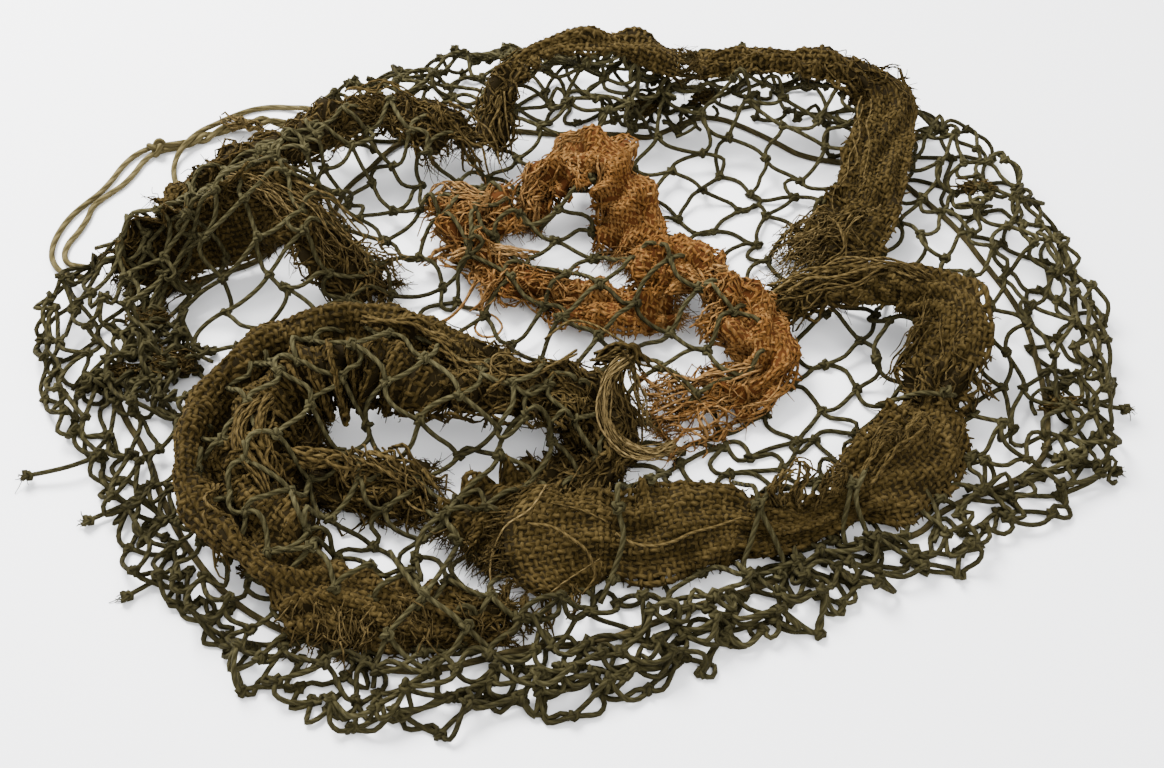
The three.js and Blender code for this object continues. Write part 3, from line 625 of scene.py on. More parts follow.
            (3, 0.63, (2, 5), 0.95, [(142, 130, 34), (138, 110, 30), (134, 90, 25), (126, 72, 20)]),
            (2, 0.63, (1, 3), 1.1, [(120, 62, 18), (126, 50, 16), (124, 40, 12), (116, 34, 9)]),
        ],
    },
    "rust_arch": {
        "dye": "rust", "crumple": 2.8, "ruffle": 3.4,
        "matted": [(0, 0.25)],
        "rows": [
            (-22, 69, 8, 20, 0, 40, 40), (-19, 77, 18, 24, 0, 60, 60), (-10, 85, 28, 34, 0, 60, 60),
            (2, 91, 36, 42, 0, 50, 50), (14, 87, 37, 38, 0, 60, 60), (22, 77, 31, 28, 0, 60, 60),
            (26, 67, 24, 36, 0, 40, 40), (25, 57, 16, 36, 0, 30, 40), (20, 48, 9, 28, 0, 30, 30),
        ],
        "loose": [
            (7, 0.65, (1.7, 3.2), 0.85, [(-14, 84, 32), (-20, 80, 25), (-24, 74, 15)]),
            (7, 0.65, (2.5, 2.4), 0.8, [(4, 97, 40), (-6, 92, 37), (-13, 84, 30)]),
            (6, 0.65, (1.7, 2.4), 0.8, [(12, 80, 36), (12, 72, 26), (11, 62, 14)]),
        ],
    },
    "rust_run": {
        "dye": "rust", "crumple": 2.8, "ruffle": 3.4,
        "matted": [(0, 0.7)],
        "rows": [
            (-40, 80, 10, 24, 0, 50, 40), (-43, 72, 21, 40, 0, 60, 50), (-45, 60, 24, 44, 0, 60, 50),
            (-47, 49, 17, 30, 0, 60, 50), (-42, 39, 13, 20, 0, 60, 60), (-30, 31, 13, 26, 0, 70, 60),
            (-15, 25, 12, 24, 0, 70, 60), (-1, 18, 13, 30, 0, 60, 50), (14, 13, 13, 36, -10, 50, 40),
            (30, 11, 13, 34, -10, 50, 40), (46, 12, 12, 26, 0, 40, 40),
        ],
        "loose": [
            (9, 0.72, (1.3, 4), 1, [(-40, 67, 26), (-52, 75, 24), (-62, 81, 18), (-69, 80, 12)]),
            (9, 0.72, (1.3, 4), 0.95, [(-40, 65, 26), (-53, 69, 23), (-64, 72, 16), (-70, 72, 10)]),
            (9, 0.72, (1.3, 4), 0.95, [(-41, 63, 25), (-53, 62, 22), (-63, 60, 15), (-67, 57, 9)]),
            (8, 0.72, (1.3, 3.2), 0.9, [(-42, 61, 24), (-52, 56, 19), (-59, 50, 11)]),
            (2, 0.63, (0.5, 1), 1.1, [(-52, 74, 25), (-61, 82, 22), (-69, 83, 16), (-70, 77, 12)]),
            (8, 0.72, (3.4, 2.4), 0.8, [(-50, 47, 16), (-60, 46, 11), (-71, 45, 6)]),
            (9, 0.72, (1.3, 2.4), 1.25, [
                (-55, 38, 14), (-46, 41, 17), (-36, 42, 17), (-26, 43, 13), (-18, 46, 8),
            ]),
            (1, 0.69, (0, 0), 0.7, [
                (-42, 24, 9), (-41, 12, 5), (-44, 4, 3), (-41, -1, 3), (-35, -1, 3), (-32, 5, 3),
                (-36, 11, 4), (-42, 12, 5),
            ]),
            (2, 0.63, (0.5, 1), 0.7, [(-44, 28, 9), (-51, 14, 5), (-60, 7, 3), (-74, 6, 3)]),
            (7, 0.72, (1.7, 3.2), 0.85, [(-28, 30, 15), (-36, 22, 10), (-43, 13, 5)]),
        ],
    },
    "rust_tail": {
        "dye": "rust", "crumple": 2.8, "ruffle": 3.2, "bare": 30,
        "matted": [(0.3, 0.42), (0.72, 1)],
        "rows": [
            (27, 35, 18, 32, 0, 60, 60), (39, 32, 26, 42, 0, 60, 60), (52, 25, 26, 40, 0, 60, 60),
            (62, 16, 22, 20, 0, 60, 60), (71, 6, 24, 36, 0, 60, 60), (79, -9, 23, 42, 0, 60, 60),
            (83, -23, 18, 34, 0, 60, 60), (78, -33, 12, 24, 0, 50, 50), (64, -41, 9, 34, 0, 30, 40),
            (48, -46, 7, 42, 0, 20, 20), (36, -49, 5, 44, 0, 10, 10),
        ],
        "loose": [
            (9, 0.72, (1.7, 4), 1, [(80, -29, 15), (66, -33, 12), (50, -34, 9), (36, -33, 6)]),
            (10, 0.72, (1.7, 4), 0.95, [(80, -33, 13), (66, -40, 11), (50, -43, 8), (34, -43, 5)]),
            (8, 0.72, (1.7, 4), 0.9, [(76, -38, 10), (62, -45, 8), (48, -50, 6), (36, -54, 4)]),
            (1, 0.69, (0, 0), 0.9, [(84, -18, 20), (90, -20, 12), (94, -18, 8), (99, -10, 8), (98, -6, 9)]),
            (1, 0.63, (0, 0), 0.95, [(74, -26, 12), (66, -22, 8), (60, -24, 6), (55, -21, 4)]),
            (7, 0.72, (1.7, 3.2), 0.9, [(62, 20, 24), (70, 16, 24), (76, 10, 21)]),
            (7, 0.72, (1.7, 3.2), 0.95, [(68, 2, 24), (60, -4, 19), (56, -10, 13)]),
        ],
    },
}
# The loop's section where its outer edge is rolled into a tube: out from its middle, and up.
ROLL = np.array([
    (2, -4), (6, -6), (10, -3), (10, 1.5), (6.5, 4.5), (2, 2.5), (-1, -4), (-4, -9), (-7, -6),
    (-10, 1), (-15, 4), (-21, 2.5), (-26, -3), (-29, -11), (-31, -18),
])
ROLLED = (0.14, 0.24, 0.60, 0.74)  # where along the loop the roll opens out of flat and closes again
RIPPLES = {  # how many make up each unevenness, and their lengths along and across the strip
    "crumple": (9, (12, 50), (14, 60)),
    "pleat_drift": (4, (40, 120), (400, 900)),
    "edge_drift": (6, (18, 70), (400, 900)),
    "ruffle": (5, (8, 14), (60, 200)),
    "wear": (6, (25, 90), (30, 90)),
}
ROW_POINTS = 40  # of a strip's middle line, for each of its rows
PLEAT_RISE, PLEAT_POWER = 0.9, 0.75  # of a pleat beside its width, and of the cloth it takes up
PLEAT_DRIFT = 2.2
EDGE_RISE = 1.2
RUFFLED_FROM = (0.1, 0.9)  # shares of the way out to the right edge between which its folds rise
ROUNDED_OVER = 45  # of the strip's last end
EDGE_FAR = 80  # across, where each edge's drift is read, so that the two differ
SPARE = (0.02, 0.8)  # least and most cloth that is taken up by pleats, as a share of the laid width
LEVEL_BEND = 0.01  # radians, so that a flat half has a bend to divide by
SLOPE_STEP, FACE_STEP = 0.6, 0.5  # to each side of a point, where its slope and facing are read
ABOVE_TABLE = {"cloth": 1.5, "tail": 0.6, "yarn": 0.8, "fibre": 0.3, "hair": 0.2}


def above(points, height):
    """The same points, with none of them lower than a height over the table."""
    return np.maximum(points, (-np.inf, -np.inf, height))


def waves(draw, count, long, wide):
    """A smooth uneven field over (along, across), of height about one, from a sum of ripples."""
    along = 1 / draw.uniform(*long, count)
    across = draw.choice((-1, 1), count) / draw.uniform(*wide, count)
    start = draw.uniform(0, 2 * np.pi, count)

    def field(s, a):
        """The field's height at distances along and across."""
        angle = 2 * np.pi * (np.multiply.outer(s, along) + np.multiply.outer(a, across)) + start
        return np.sin(angle).sum(axis=-1) / np.sqrt(count / 2)

    return field


def strip_shape(strip, rolled, draw):
    """A laid strip as a function of how far along and across it a point is: its place and which
    way the cloth faces there. Also the strip's length."""
    rows = np.array(strip["rows"], float)
    half = strip["cut"] / 2
    share = np.linspace(0, 1, ROW_POINTS * len(rows))
    line = through(rows[:, :3], share)
    run = run_of(line[None])[0]
    long = run[-1]
    laid = read_along(share * (len(rows) - 1), np.arange(len(rows)), rows[:, 3:])
    wide, bank, left_curl, right_curl = laid.T
    bank = np.radians(bank)[:, None]
    along = unit(np.gradient(line, axis=0))
    left = unit(np.stack([-along[:, 1], along[:, 0], np.zeros(len(line))], axis=1))
    side = left * np.cos(bank) + np.cross(along, left) * np.sin(bank)
    face = np.cross(along, side)
    crumple, pleat_drift, edge_drift, ruffle = (
        waves(draw, *RIPPLES[kind]) for kind in ("crumple", "pleat_drift", "edge_drift", "ruffle")
    )
    roll_at = (np.linspace(-1, 1, len(ROLL)) * -half)[::-1]
    roll_out, roll_up = ROLL[::-1].T

    def section(s, a):
        """Out from the strip's middle and up, before its pleats."""
        reach = np.interp(s, run, wide) / 2 * np.abs(a) / half
        curl = np.where(a < 0, np.interp(s, run, right_curl), np.interp(s, run, left_curl))
        bend = np.radians(curl) * np.abs(a) / half
        bend = np.where(np.abs(bend) < LEVEL_BEND, LEVEL_BEND, bend)
        out = np.where(a < 0, -1.0, 1.0) * reach * np.sin(bend) / bend
        up = -reach * (1 - np.cos(bend)) / bend
        if rolled:
            start, full, last, end = np.array(ROLLED) * long
            weight = smooth(start, full, s) * (1 - smooth(last, end, s))
            out = out * (1 - weight) + np.interp(a, roll_at, roll_out) * weight
            up = up * (1 - weight) + np.interp(a, roll_at, roll_up) * weight
        return out, up

    def place(s, a):
        """Where a point of the strip lies, pleats, dents and all."""
        s, a = np.broadcast_arrays(np.asarray(s, float), np.asarray(a, float))
        s = s - strip["rounded"] * smooth(long - ROUNDED_OVER, long, s) * np.abs(a / half) ** 3
        held = np.clip(s, 0, long)
        out, up = section(held, a)
        beyond, before = (np.stack(section(held, a + step), axis=-1) for step in (SLOPE_STEP, -SLOPE_STEP))
        slope = unit(beyond - before)
        laid_wide = np.interp(held, run, wide)
        spare = np.clip(strip["cut"] / laid_wide - 1, *SPARE)
        phase = 2 * np.pi * a / strip["cut"] * strip["pleats"] + PLEAT_DRIFT * pleat_drift(held, a * 0)
        rise = PLEAT_RISE * (laid_wide / strip["pleats"]) / np.pi * spare ** PLEAT_POWER * np.sin(phase)
        rise += strip["crumple"] * crumple(held, a)
        rise += strip["ruffle"] * smooth(*RUFFLED_FROM, -a / half) * ruffle(held, a)
        rise += EDGE_RISE * (a / half) ** 2 * edge_drift(held, a * 0 + EDGE_FAR * np.sign(a))
        out = out - slope[..., 1] * rise
        up = up + slope[..., 0] * rise
        middle, side_here, face_here, along_here = (
            read_along(held, run, each) for each in (line, side, face, along)
        )
        at = middle + side_here * out[..., None] + face_here * up[..., None]
        return above(at + along_here * (s - held)[..., None], ABOVE_TABLE["cloth"])

    def shape(s, a):
        """A point's place, and the way the cloth faces there."""
        s, a = np.asarray(s), np.asarray(a)
        across_it = place(s, a + FACE_STEP) - place(s, a - FACE_STEP)
        along_it = place(s + FACE_STEP, a) - place(s - FACE_STEP, a)
        return place(s, a), unit(np.cross(along_it, across_it))

    return shape, long


TAIL_POINTS = 3  # that a yarn has beyond the last one that crosses it
TAIL_DROP, TAIL_LIFT = 0.35, 0.3
TAIL_BEND = 1.6  # past 1, so that a tail bends away more and more towards its tip
TAIL_THIN, TAIL_PALE = 0.7, 0.25  # how much thinner and paler its tip is
MAT_EDGE = 9  # to each side of a mat's end, over which the weave wears away
MAT_FLAT, MAT_THIN, MAT_LOST = 0.7, 0.3, 0.6  # a mat's loss of weave, of thickness, and of wefts
BARE_THIN = 0.45  # loss of thickness at a strip's last end
WORN_FROM = (0.2, 1.6)  # the heights of the wear's ripples between which the weave grows uneven
WOBBLE = {"all": 0.04, "worn": 0.3, "mat": 0.8}  # to the sides, as shares of the pitch
WORN_LIFT, MAT_LIFT = (0.1, 0.35), (0.3, 1.0)  # off the cloth, and how much more or less
WOBBLE_LONG, LIFT_LONG = (11, 45), (9, 30)  # lengths over which a yarn strays and comes back
YARN_THICK, THICK_UNEVEN = (0.8, 1.12), 0.06  # from yarn to yarn, and along one
YARN_SHADE, SHADE_UNEVEN = 0.5, 0.11
KINDS = {
    # uneven: how unevenly its yarns are spaced, as a share of the pitch; tails: their reach;
    # hand: whether its first yarn starts over or under; stray: how far its tails stray
    "warp": {"uneven": 0.08, "tails": (2, 7), "hand": 1, "stray": 1.6},
    "weft": {"uneven": 0.1, "tails": (0.6, 3.2), "hand": -1, "stray": 1.0},
}


def strayed(at, facing, share, draw, stray):
    """Moves the ends of yarns off the cloth: share is 0 in the cloth and 1 at a yarn's tip."""
    aside = draw.normal(size=(len(at), 1, 3)) * stray
    drop = np.array([0, 0, -TAIL_DROP * stray])
    moved = at + share[..., None] ** TAIL_BEND * (aside + drop + facing * draw.uniform(-1, 1) * TAIL_LIFT)
    return above(moved, ABOVE_TABLE["tail"])


def yarn_run(inner, tails, fine):
    """Distances along yarns, fine steps to each crossing, with tails that reach past both ends;
    also how far out on its tail each point is, and how far over or under the cloth it weaves."""
    marks = np.arange(0, len(inner) - 1 + 1e-6, 1 / fine)
    steady = np.interp(marks, np.arange(len(inner)), inner)
    step = np.arange(1, TAIL_POINTS + 1) / TAIL_POINTS
    runs = np.concatenate([
        steady[:1] - tails[:, :1] * step[::-1],
        np.broadcast_to(steady, (len(tails), len(steady))),
        steady[-1:] + tails[:, 1:] * step,
    ], axis=1)
    share = np.concatenate([step[::-1], np.zeros(len(steady)), step])
    swing = np.concatenate([0 * step, np.cos(np.pi * marks), 0 * step])
    return runs, np.broadcast_to(share, runs.shape), swing


def matted_at(strip, long, s):
    """How far the weave is worn to a mat along a strip, from 0 to 1."""
    mat = np.zeros_like(s)
    for first, last in strip["matted"]:
        here = smooth(first * long - MAT_EDGE, first * long + MAT_EDGE, s) if first else 1
        here = here * (1 - smooth(last * long - MAT_EDGE, last * long + MAT_EDGE, s) if last < 1 else 1)
        mat = np.maximum(mat, here)
    return mat


SWAY_SPREAD = 1.22  # of a sum of three sines


def sway(draw, runs, long):
    """A smooth drift along each of many yarns, of height about one, over lengths of this range."""
    turns = 1 / draw.uniform(*long, (3, len(runs), 1))
    start = draw.uniform(0, 2 * np.pi, (3, len(runs), 1))
    return np.sin(2 * np.pi * runs * turns + start).sum(axis=0) / SWAY_SPREAD


def woven(strip, shape, long, draw):
    """The yarns of a strip: warps along it and wefts across it, over and under by turns. Also
    where the yarns end: each end's place and the way it points."""
    half, pitch = strip["cut"] / 2, PITCH[strip["dye"]]
    warp_at, weft_at = (
        np.linspace(*ends, count) + draw.normal(0, KINDS[kind]["uneven"] * pitch, count)
        for kind, ends, count in (
            ("warp", (-half, half), int(round(strip["cut"] / pitch)) + 1),
            ("weft", (0, long), int(long / pitch)),
        )
    )
    wear = waves(draw, *RIPPLES["wear"])
    parts, yarn_ends = [], {}
    for (kind, yarn), inner, places in zip(KINDS.items(), (weft_at, warp_at), (warp_at, weft_at)):
        count = len(places)
        runs, share, swing = yarn_run(inner, draw.uniform(*yarn["tails"], (count, 2)), strip["fine"])
        across = np.broadcast_to(places[:, None], runs.shape)
        steady_s, steady_a = (runs, across) if kind == "warp" else (across, runs)
        worn = strip["worn"] * smooth(*WORN_FROM, wear(steady_s, steady_a))
        mat = matted_at(strip, long, steady_s)
        wobble = draw.normal(0, WOBBLE["all"] * pitch, runs.shape)
        loose = WOBBLE["worn"] * worn + WOBBLE["mat"] * mat
        wobble = wobble + loose * pitch * sway(draw, runs, WOBBLE_LONG)
        s, a = (runs, across + wobble) if kind == "warp" else (across + wobble, runs)
        at, facing = shape(s, a)
        over = yarn["hand"] * (-1.0) ** np.arange(count)[:, None] * swing * (1 - MAT_FLAT * mat)
        lift = over * WEAVE_RISE * pitch * (1 - share)
        for state, (least, more) in ((worn, WORN_LIFT), (mat, MAT_LIFT)):
            lift = lift + state * (least + more * sway(draw, runs, LIFT_LONG))
        at = strayed(at + facing * lift[..., None], facing, share, draw, yarn["stray"])
        thick = YARN_WIDE * pitch / 2 * draw.uniform(*YARN_THICK, (count, 1)) * (1 - MAT_THIN * mat)
        thick = thick * (1 + draw.normal(0, THICK_UNEVEN, runs.shape))
        thick = thick * (1 - BARE_THIN * smooth(long - strip["bare"] - MAT_EDGE, long, s))
        thick = thick * (1 - TAIL_THIN * share)
        shade = draw.normal(YARN_SHADE + strip["paler"], SHADE_UNEVEN, (count, 1)) + TAIL_PALE * share
        shade = np.clip(shade, 0, 1)
        lost = MAT_LOST * matted_at(strip, long, places) if kind == "weft" else 0
        kept = draw.uniform(0, 1, count) > lost
        parts.append(tubes(at[kept], thick[kept], 4, shade[kept], up=facing[kept], flat=YARN_FLAT))
        yarn_ends[kind] = [
            (at[:, tip], unit(at[:, tip] - at[:, inward]))
            for tip, inward in ((TAIL_POINTS, TAIL_POINTS + 1), (-TAIL_POINTS - 1, -TAIL_POINTS - 2))
        ]
    return parts, yarn_ends


FRINGES = {  # how many fibres from each place, their length, half thickness and spread
    "warp": (5, (3, 10), 0.32, 0.3),
    "weft": (1, (0.8, 3.8), 0.38, 0.3),
    "lying": (1, (2.5, 8), 0.34, 0.1),
}
FIBRE_POINTS = 5
FIBRE_ROOT = 0.5  # how far from its yarn's end a fibre starts
FIBRE_BEND, FIBRE_DROOP = 0.32, (0, 0, -0.3)
FIBRE_CURL, CURL_TURNS, CURL_REACH = 0.4, 1.3, 0.25
FIBRE_TIP = 0.4  # its thickness there, as a share of that at its root
FIBRE_THICK = (0.7, 1.2)  # shares of the thickness given, here and in the bundles
FIBRE_SHADES = (0.5, 1)


def fringe(at, way, each, length, thick, spread, draw):
    """Loose fibres from frayed yarn ends: a few from each, bent and drooping as they go out."""
    at, way = np.repeat(at, each, axis=0), np.repeat(way, each, axis=0)
    at = at + draw.normal(0, FIBRE_ROOT, at.shape)
    way = unit(way + draw.normal(0, spread, at.shape))[:, None]
    bend = (draw.normal(0, FIBRE_BEND, at.shape) + FIBRE_DROOP)[:, None]
    curl = draw.normal(0, FIBRE_CURL, at.shape)[:, None]
    share = np.linspace(0, 1, FIBRE_POINTS)[None, :, None]
    length = draw.uniform(*length, (len(at), 1, 1))
    lines = at[:, None] + length * (
        way * share + bend * share ** 2 + curl * np.sin(2 * CURL_TURNS * np.pi * share) * CURL_REACH
    )
    radius = np.linspace(1, FIBRE_TIP, FIBRE_POINTS) * draw.uniform(*FIBRE_THICK, (len(at), 1)) * thick
    shades = draw.uniform(*FIBRE_SHADES, (len(at), 1))
    return tubes(above(lines, ABOVE_TABLE["fibre"]), radius, 3, shades)


HAIR_AREA, LYING_AREA, STRAY_AREA = 10, 12, 100  # of cloth to each hair, lying fibre and stray yarn
MATTED_LEAST = (0.1, 1)  # how far the cloth must be matted there for a fibre or yarn to work loose
STRAY_POINTS = 13
STRAY_LONG = 40
STRAY_SWAYS = {  # how far it wanders along, across and off the cloth, and over what lengths
    "along": (3, (14, 40)), "across": (5, (16, 60)), "off": (1.2, (14, 40)),
}
STRAY_LIFT = 1.6
STRAY_THICK, STRAY_SHADES = (0.3, 0.75), (0.55, 1)
STRAY_PAST = 3  # beyond the cloth's edges


def stray_yarns(strip, shape, long, draw):
    """Long yarns worked loose from the matted cloth, which wander over it."""
    half = strip["cut"] / 2
    start = draw.uniform(0, long, int(long * strip["cut"] / STRAY_AREA))
    start = start[matted_at(strip, long, start) > draw.uniform(*MATTED_LEAST, len(start))][:, None]
    share = np.linspace(0, 1, STRAY_POINTS)

    def swayed(way):
        """How far each yarn has wandered one way."""
        reach, over = STRAY_SWAYS[way]
        return reach * sway(draw, share * STRAY_LONG * np.ones_like(start), over)

    s = start + draw.uniform(-STRAY_LONG, STRAY_LONG, start.shape) * (share - 0.5)
    s = s + swayed("along")
    a = draw.uniform(-half, half, start.shape) + swayed("across")
    edges = half + STRAY_PAST
    at, facing = shape(np.clip(s, -STRAY_PAST, long + STRAY_PAST), np.clip(a, -edges, edges))
    at = at + facing * (STRAY_LIFT + swayed("off"))[..., None]
    thick = draw.uniform(*STRAY_THICK, start.shape) * np.ones(STRAY_POINTS)
    return tubes(above(at, ABOVE_TABLE["yarn"]), thick, 3, draw.uniform(*STRAY_SHADES, start.shape))


BUNDLE_STEP = 2.4
BUNDLE_RUN, BUNDLE_SWAYS = 60, (18, 60)
BUNDLE_APART, BUNDLE_DRIFT = 0.6, 0.4  # shares of how far its yarns lie apart
BUNDLE_TIP_THIN = 0.4
BUNDLE_SHADES = 0.12


def drifts(draw, count, run, long):
    """A smooth drift in every direction along each of some lines, at these shares of their runs."""
    return np.stack([sway(draw, run * np.ones((count, 1)), long) for axis in range(3)], axis=-1)


def bundle(count, thick, apart, shade, points, draw):
    """Loose yarns that run together along a line and part towards its end."""
    line = even(points, BUNDLE_STEP)
    share = np.linspace(0, 1, len(line))
    drift = BUNDLE_DRIFT * drifts(draw, count, share * BUNDLE_RUN, BUNDLE_SWAYS)
    apart = np.interp(share, (0, 1), apart)[None, :, None]
    lines = line + apart * (draw.normal(0, BUNDLE_APART, (count, 1, 3)) + drift)
    radius = thick * draw.uniform(*FIBRE_THICK, (count, 1)) * (1 - BUNDLE_TIP_THIN * share ** 4)
    shades = shade + draw.normal(0, BUNDLE_SHADES, (count, 1))
    return tubes(above(lines, ABOVE_TABLE["yarn"]), radius, 3, shades)


HAIR = {"length": (0.7, 2.4), "thick": (0.11, 0.0385), "lean": 0.9, "shade": 0.65}  # thick: half of it
LYING_RISE = 0.35  # of a fibre that lies on a mat


def scattered(strip, long, area, draw):
    """Places over the cloth, one to each such area of it: how far along and across it they lie."""
    count, half = int(long * strip["cut"] / area), strip["cut"] / 2
    return draw.uniform(0, long, count), draw.uniform(-half, half, count)


def hairs(at, facing, draw):
    """The nap: short fine fibres that stand off the cloth, each a thin three-sided spike."""
    lean = unit(facing + draw.normal(size=at.shape) * HAIR["lean"])
    tips = at + draw.uniform(*HAIR["length"], (len(at), 1)) * lean
    lines = above(np.stack([at, tips], axis=1), ABOVE_TABLE["hair"])
    return tubes(lines, HAIR["thick"], 3, HAIR["shade"])


GROUND_THICK = 0.4
GROUND_INSET = 3
GROUND_STEP = (2.2, 4)  # across and along


def quads(index, beside):
    """Faces between two rows of corners, or between two grids of them."""
    return np.stack([index[:-1], index[1:], beside[1:], beside[:-1]], axis=-1).reshape(-1, 4)


def gap_shade_of(strip, shape, long):
    """A thin closed sheet between the strip's yarns, in the darkest tone of a near-black finish: painted
    shade in the gaps of the weave.
    """
    s = np.linspace(1, long - max(strip["bare"], 1), int(long / GROUND_STEP[1]))
    half = strip["cut"] / 2 - GROUND_INSET
    a = np.linspace(-half, half, int(2 * half / GROUND_STEP[0]) + 1)
    at, facing = shape(s[:, None], a[None])
    corners = np.concatenate([at + facing * GROUND_THICK / 2, at - facing * GROUND_THICK / 2])
    top, low = np.arange(2 * at[..., 0].size).reshape(2, *at.shape[:2])
    faces = np.concatenate([
        quads(top[:, :-1], top[:, 1:]), quads(low[:, :-1], low[:, 1:])[:, [0, 3, 2, 1]],
        quads(top[0], low[0]), quads(low[-1], top[-1]),
        quads(low[:, 0], top[:, 0]), quads(top[:, -1], low[:, -1]),
    ])
    return {
        "corners": corners.reshape(-1, 3),
        "faces": [(faces, np.zeros((*faces.shape, 2)))],
        "shades": np.zeros(corners[..., 0].size),
    }


# A ground finish is near black: it is painted shade, seen in the gaps between the yarns.
HESSIAN = {  # each dye's yarns and the ground between them, with colours from dark to pale
    "olive_yarn": {
        "colours": [
            (0.006, 0.0038, 0.0008), (0.0265, 0.0169, 0.0034), (0.07, 0.0475, 0.0155), (0.17, 0.118, 0.046),
        ],
        "relief": 0.0004, "sheen": 0.04,
    },
    "rust_yarn": {
        "colours": [(0.04, 0.0135, 0.0025), (0.12, 0.051, 0.011), (0.205, 0.113, 0.039), (0.27, 0.16, 0.065)],
        "relief": 0.0004, "sheen": 0.05,
    },
    "olive_gap_shade": {
        "colours": [
            (0.006, 0.004, 0.001), (0.012, 0.008, 0.002), (0.02, 0.013, 0.003), (0.024, 0.016, 0.004),
        ],
        "relief": 0.0002, "sheen": 0.05,
    },
    "rust_gap_shade": {
        "colours": [(0.03, 0.009, 0.002), (0.06, 0.02, 0.004), (0.085, 0.03, 0.007), (0.09, 0.032, 0.008)],
        "relief": 0.0002, "sheen": 0.05,
    },
}
JUTE_TWIST = {"lay": 0.0042, "strands": 2}
hessian = {name: twisted_finish(name, **JUTE_TWIST, **look) for name, look in HESSIAN.items()}

FIRST_STRIP_SEED = 40
STRIP_POINT_STEP = 1.5  # between the points that the netting is kept clear of
strip_points = {}
for number, (strip_name, differs) in enumerate(STRIPS.items()):
    strip = {**PLAIN_STRIP, **differs}
    draw = np.random.default_rng(FIRST_STRIP_SEED + number)
    shape, long = strip_shape(strip, strip_name == "scrim_loop", draw)
    dye = strip["dye"]
    # Each strip's ground is a dark sheet of painted shade under its yarns.
    cloth = piece_of(strip_name + "_shade_sheet", [gap_shade_of(strip, shape, long)], hessian[dye + "_gap_shade"])
    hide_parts(strip_name)
    yarns, yarn_ends = woven(strip, shape, long, draw)
    weave = piece_of(strip_name + "_weave", yarns, hessian[dye + "_yarn"])
    root_at, root_facing = shape(*scattered(strip, long, HAIR_AREA, draw))
    fibres = [hairs(root_at, root_facing, draw)]
    root_s, root_a = scattered(strip, long, LYING_AREA, draw)
    chosen = matted_at(strip, long, root_s) > draw.uniform(*MATTED_LEAST, len(root_s))
    root_at, root_facing = shape(root_s[chosen], root_a[chosen])
    lying = unit(np.cross(root_facing, draw.normal(size=root_at.shape)) + LYING_RISE * root_facing)
    fibres.append(fringe(root_at, lying, *FRINGES["lying"], draw))
    fibres += [fringe(*end, *FRINGES[kind], draw) for kind in ("warp", "weft") for end in yarn_ends[kind]]
    fibres.append(stray_yarns(strip, shape, long, draw))
    fibres += [bundle(*loose, draw) for loose in strip["loose"]]
    nap = piece_of(strip_name + "_nap", fibres, hessian[dye + "_yarn"])
    half = strip["cut"] / 2
    top_s, top_a = np.meshgrid(
        np.arange(0, long, STRIP_POINT_STEP), np.arange(-half, half, STRIP_POINT_STEP), indexing="ij"
    )
    strip_points[strip_name] = (top_a.ravel() / half, shape(top_s, top_a)[0].reshape(-1, 3))

# ---- the netting --------------------------------------------------------------------------
# A round bag of square meshes, knotted by hand from laid cotton cord. Its crown sinks over the
# strips to the table, its side is turned under at the rim, and its slack cord curls between knots.
NET_SEED = 7
CELLS = 26  # meshes across the crown
RINGS = 4  # rows of meshes in the side that is turned under
NET_TURN = 48  # bearing of the crown's rows, in degrees
BAR_LONG = (19.5, 22.5)  # cord between two knots
NET_CORD = 2.2
NET_SIDES = 5
KNOT_SIZE = 2.09
UNEVEN = 3.5
OPEN_MIDDLE = 0.16  # how much wider the meshes lie in the middle than all over
INNER_KNOTS = 0.95  # share of the way out to the rim up to which the knots lie unevenly
SWELL_FROM = (0.5, 0.8)  # shares of the way out between which the crown rises to the rim's swell
RIM_FROM, RIM_DROP = (0.85, 1), 0.25  # where it rounds down to the rim, and by what share
FOLD = (7, 3)  # how far inside the rim the last knots of the crown and the first ones under it lie
FOLD_RISE = 0.2  # height of those first ones, as a share of the swell
RING_UNEVEN = (0.8, 1.5)  # degrees round the rim, and reach
HUMPS = [  # x y reach rise: where strips and bunched cord hold the crown up
    (-5, 78, 34, 30), (10, 22, 34, 15), (62, 16, 30, 20), (-118, -62, 34, 26),
    (-148, 38, 34, 46), (-120, 108, 38, 30), (0, 150, 60, 34), (110, 146, 48, 26),
    (140, 84, 34, 18), (150, -14, 30, 22),
]
GATHERS = [(-186, -12, 48, 0.42), (38, 158, 40, 0.5), (176, -84, 36, 0.38)]  # x y reach pull
# How far to its left edge, from -1 to 1, each strip lies under the net; the rest lies on the net.
UNDER_NET = {
    "scrim_front": -1, "scrim_loop": 0.2, "scrim_gather": 1, "scrim_left": 1, "scrim_back_left": 0,
    "scrim_back": -1, "scrim_back_right": -1, "rust_arch": -1, "rust_run": 1, "rust_tail": 0,
}
CLEAR_BELOW, CLEAR_ABOVE = 1.8, 1.4  # between the net's cord and the middle of a strip's cloth
FIELD_STEP = 2.0  # of the two height fields
FIELD_REACH = 260


def height_field(clouds, highest):
    """The highest (or lowest) point of the strips over each small square of the table."""
    wide = int(2 * FIELD_REACH / FIELD_STEP)
    field = np.full((wide, wide), -1e3 if highest else 1e3)
    for cloud in clouds:
        square = ((cloud[:, :2] + FIELD_REACH) / FIELD_STEP).astype(int)
        (np.maximum if highest else np.minimum).at(field, (square[:, 0], square[:, 1]), cloud[:, 2])
    return field


def field_at(field, points):
    """A height field's value under or over each point."""
    square = np.clip(((points[..., :2] + FIELD_REACH) / FIELD_STEP).astype(int), 0, len(field) - 1)
    return field[square[..., 0], square[..., 1]]


def bearing_of(points):
    """The bearing of each point from the middle, in degrees."""
    return np.degrees(np.arctan2(points[..., 1], points[..., 0]))


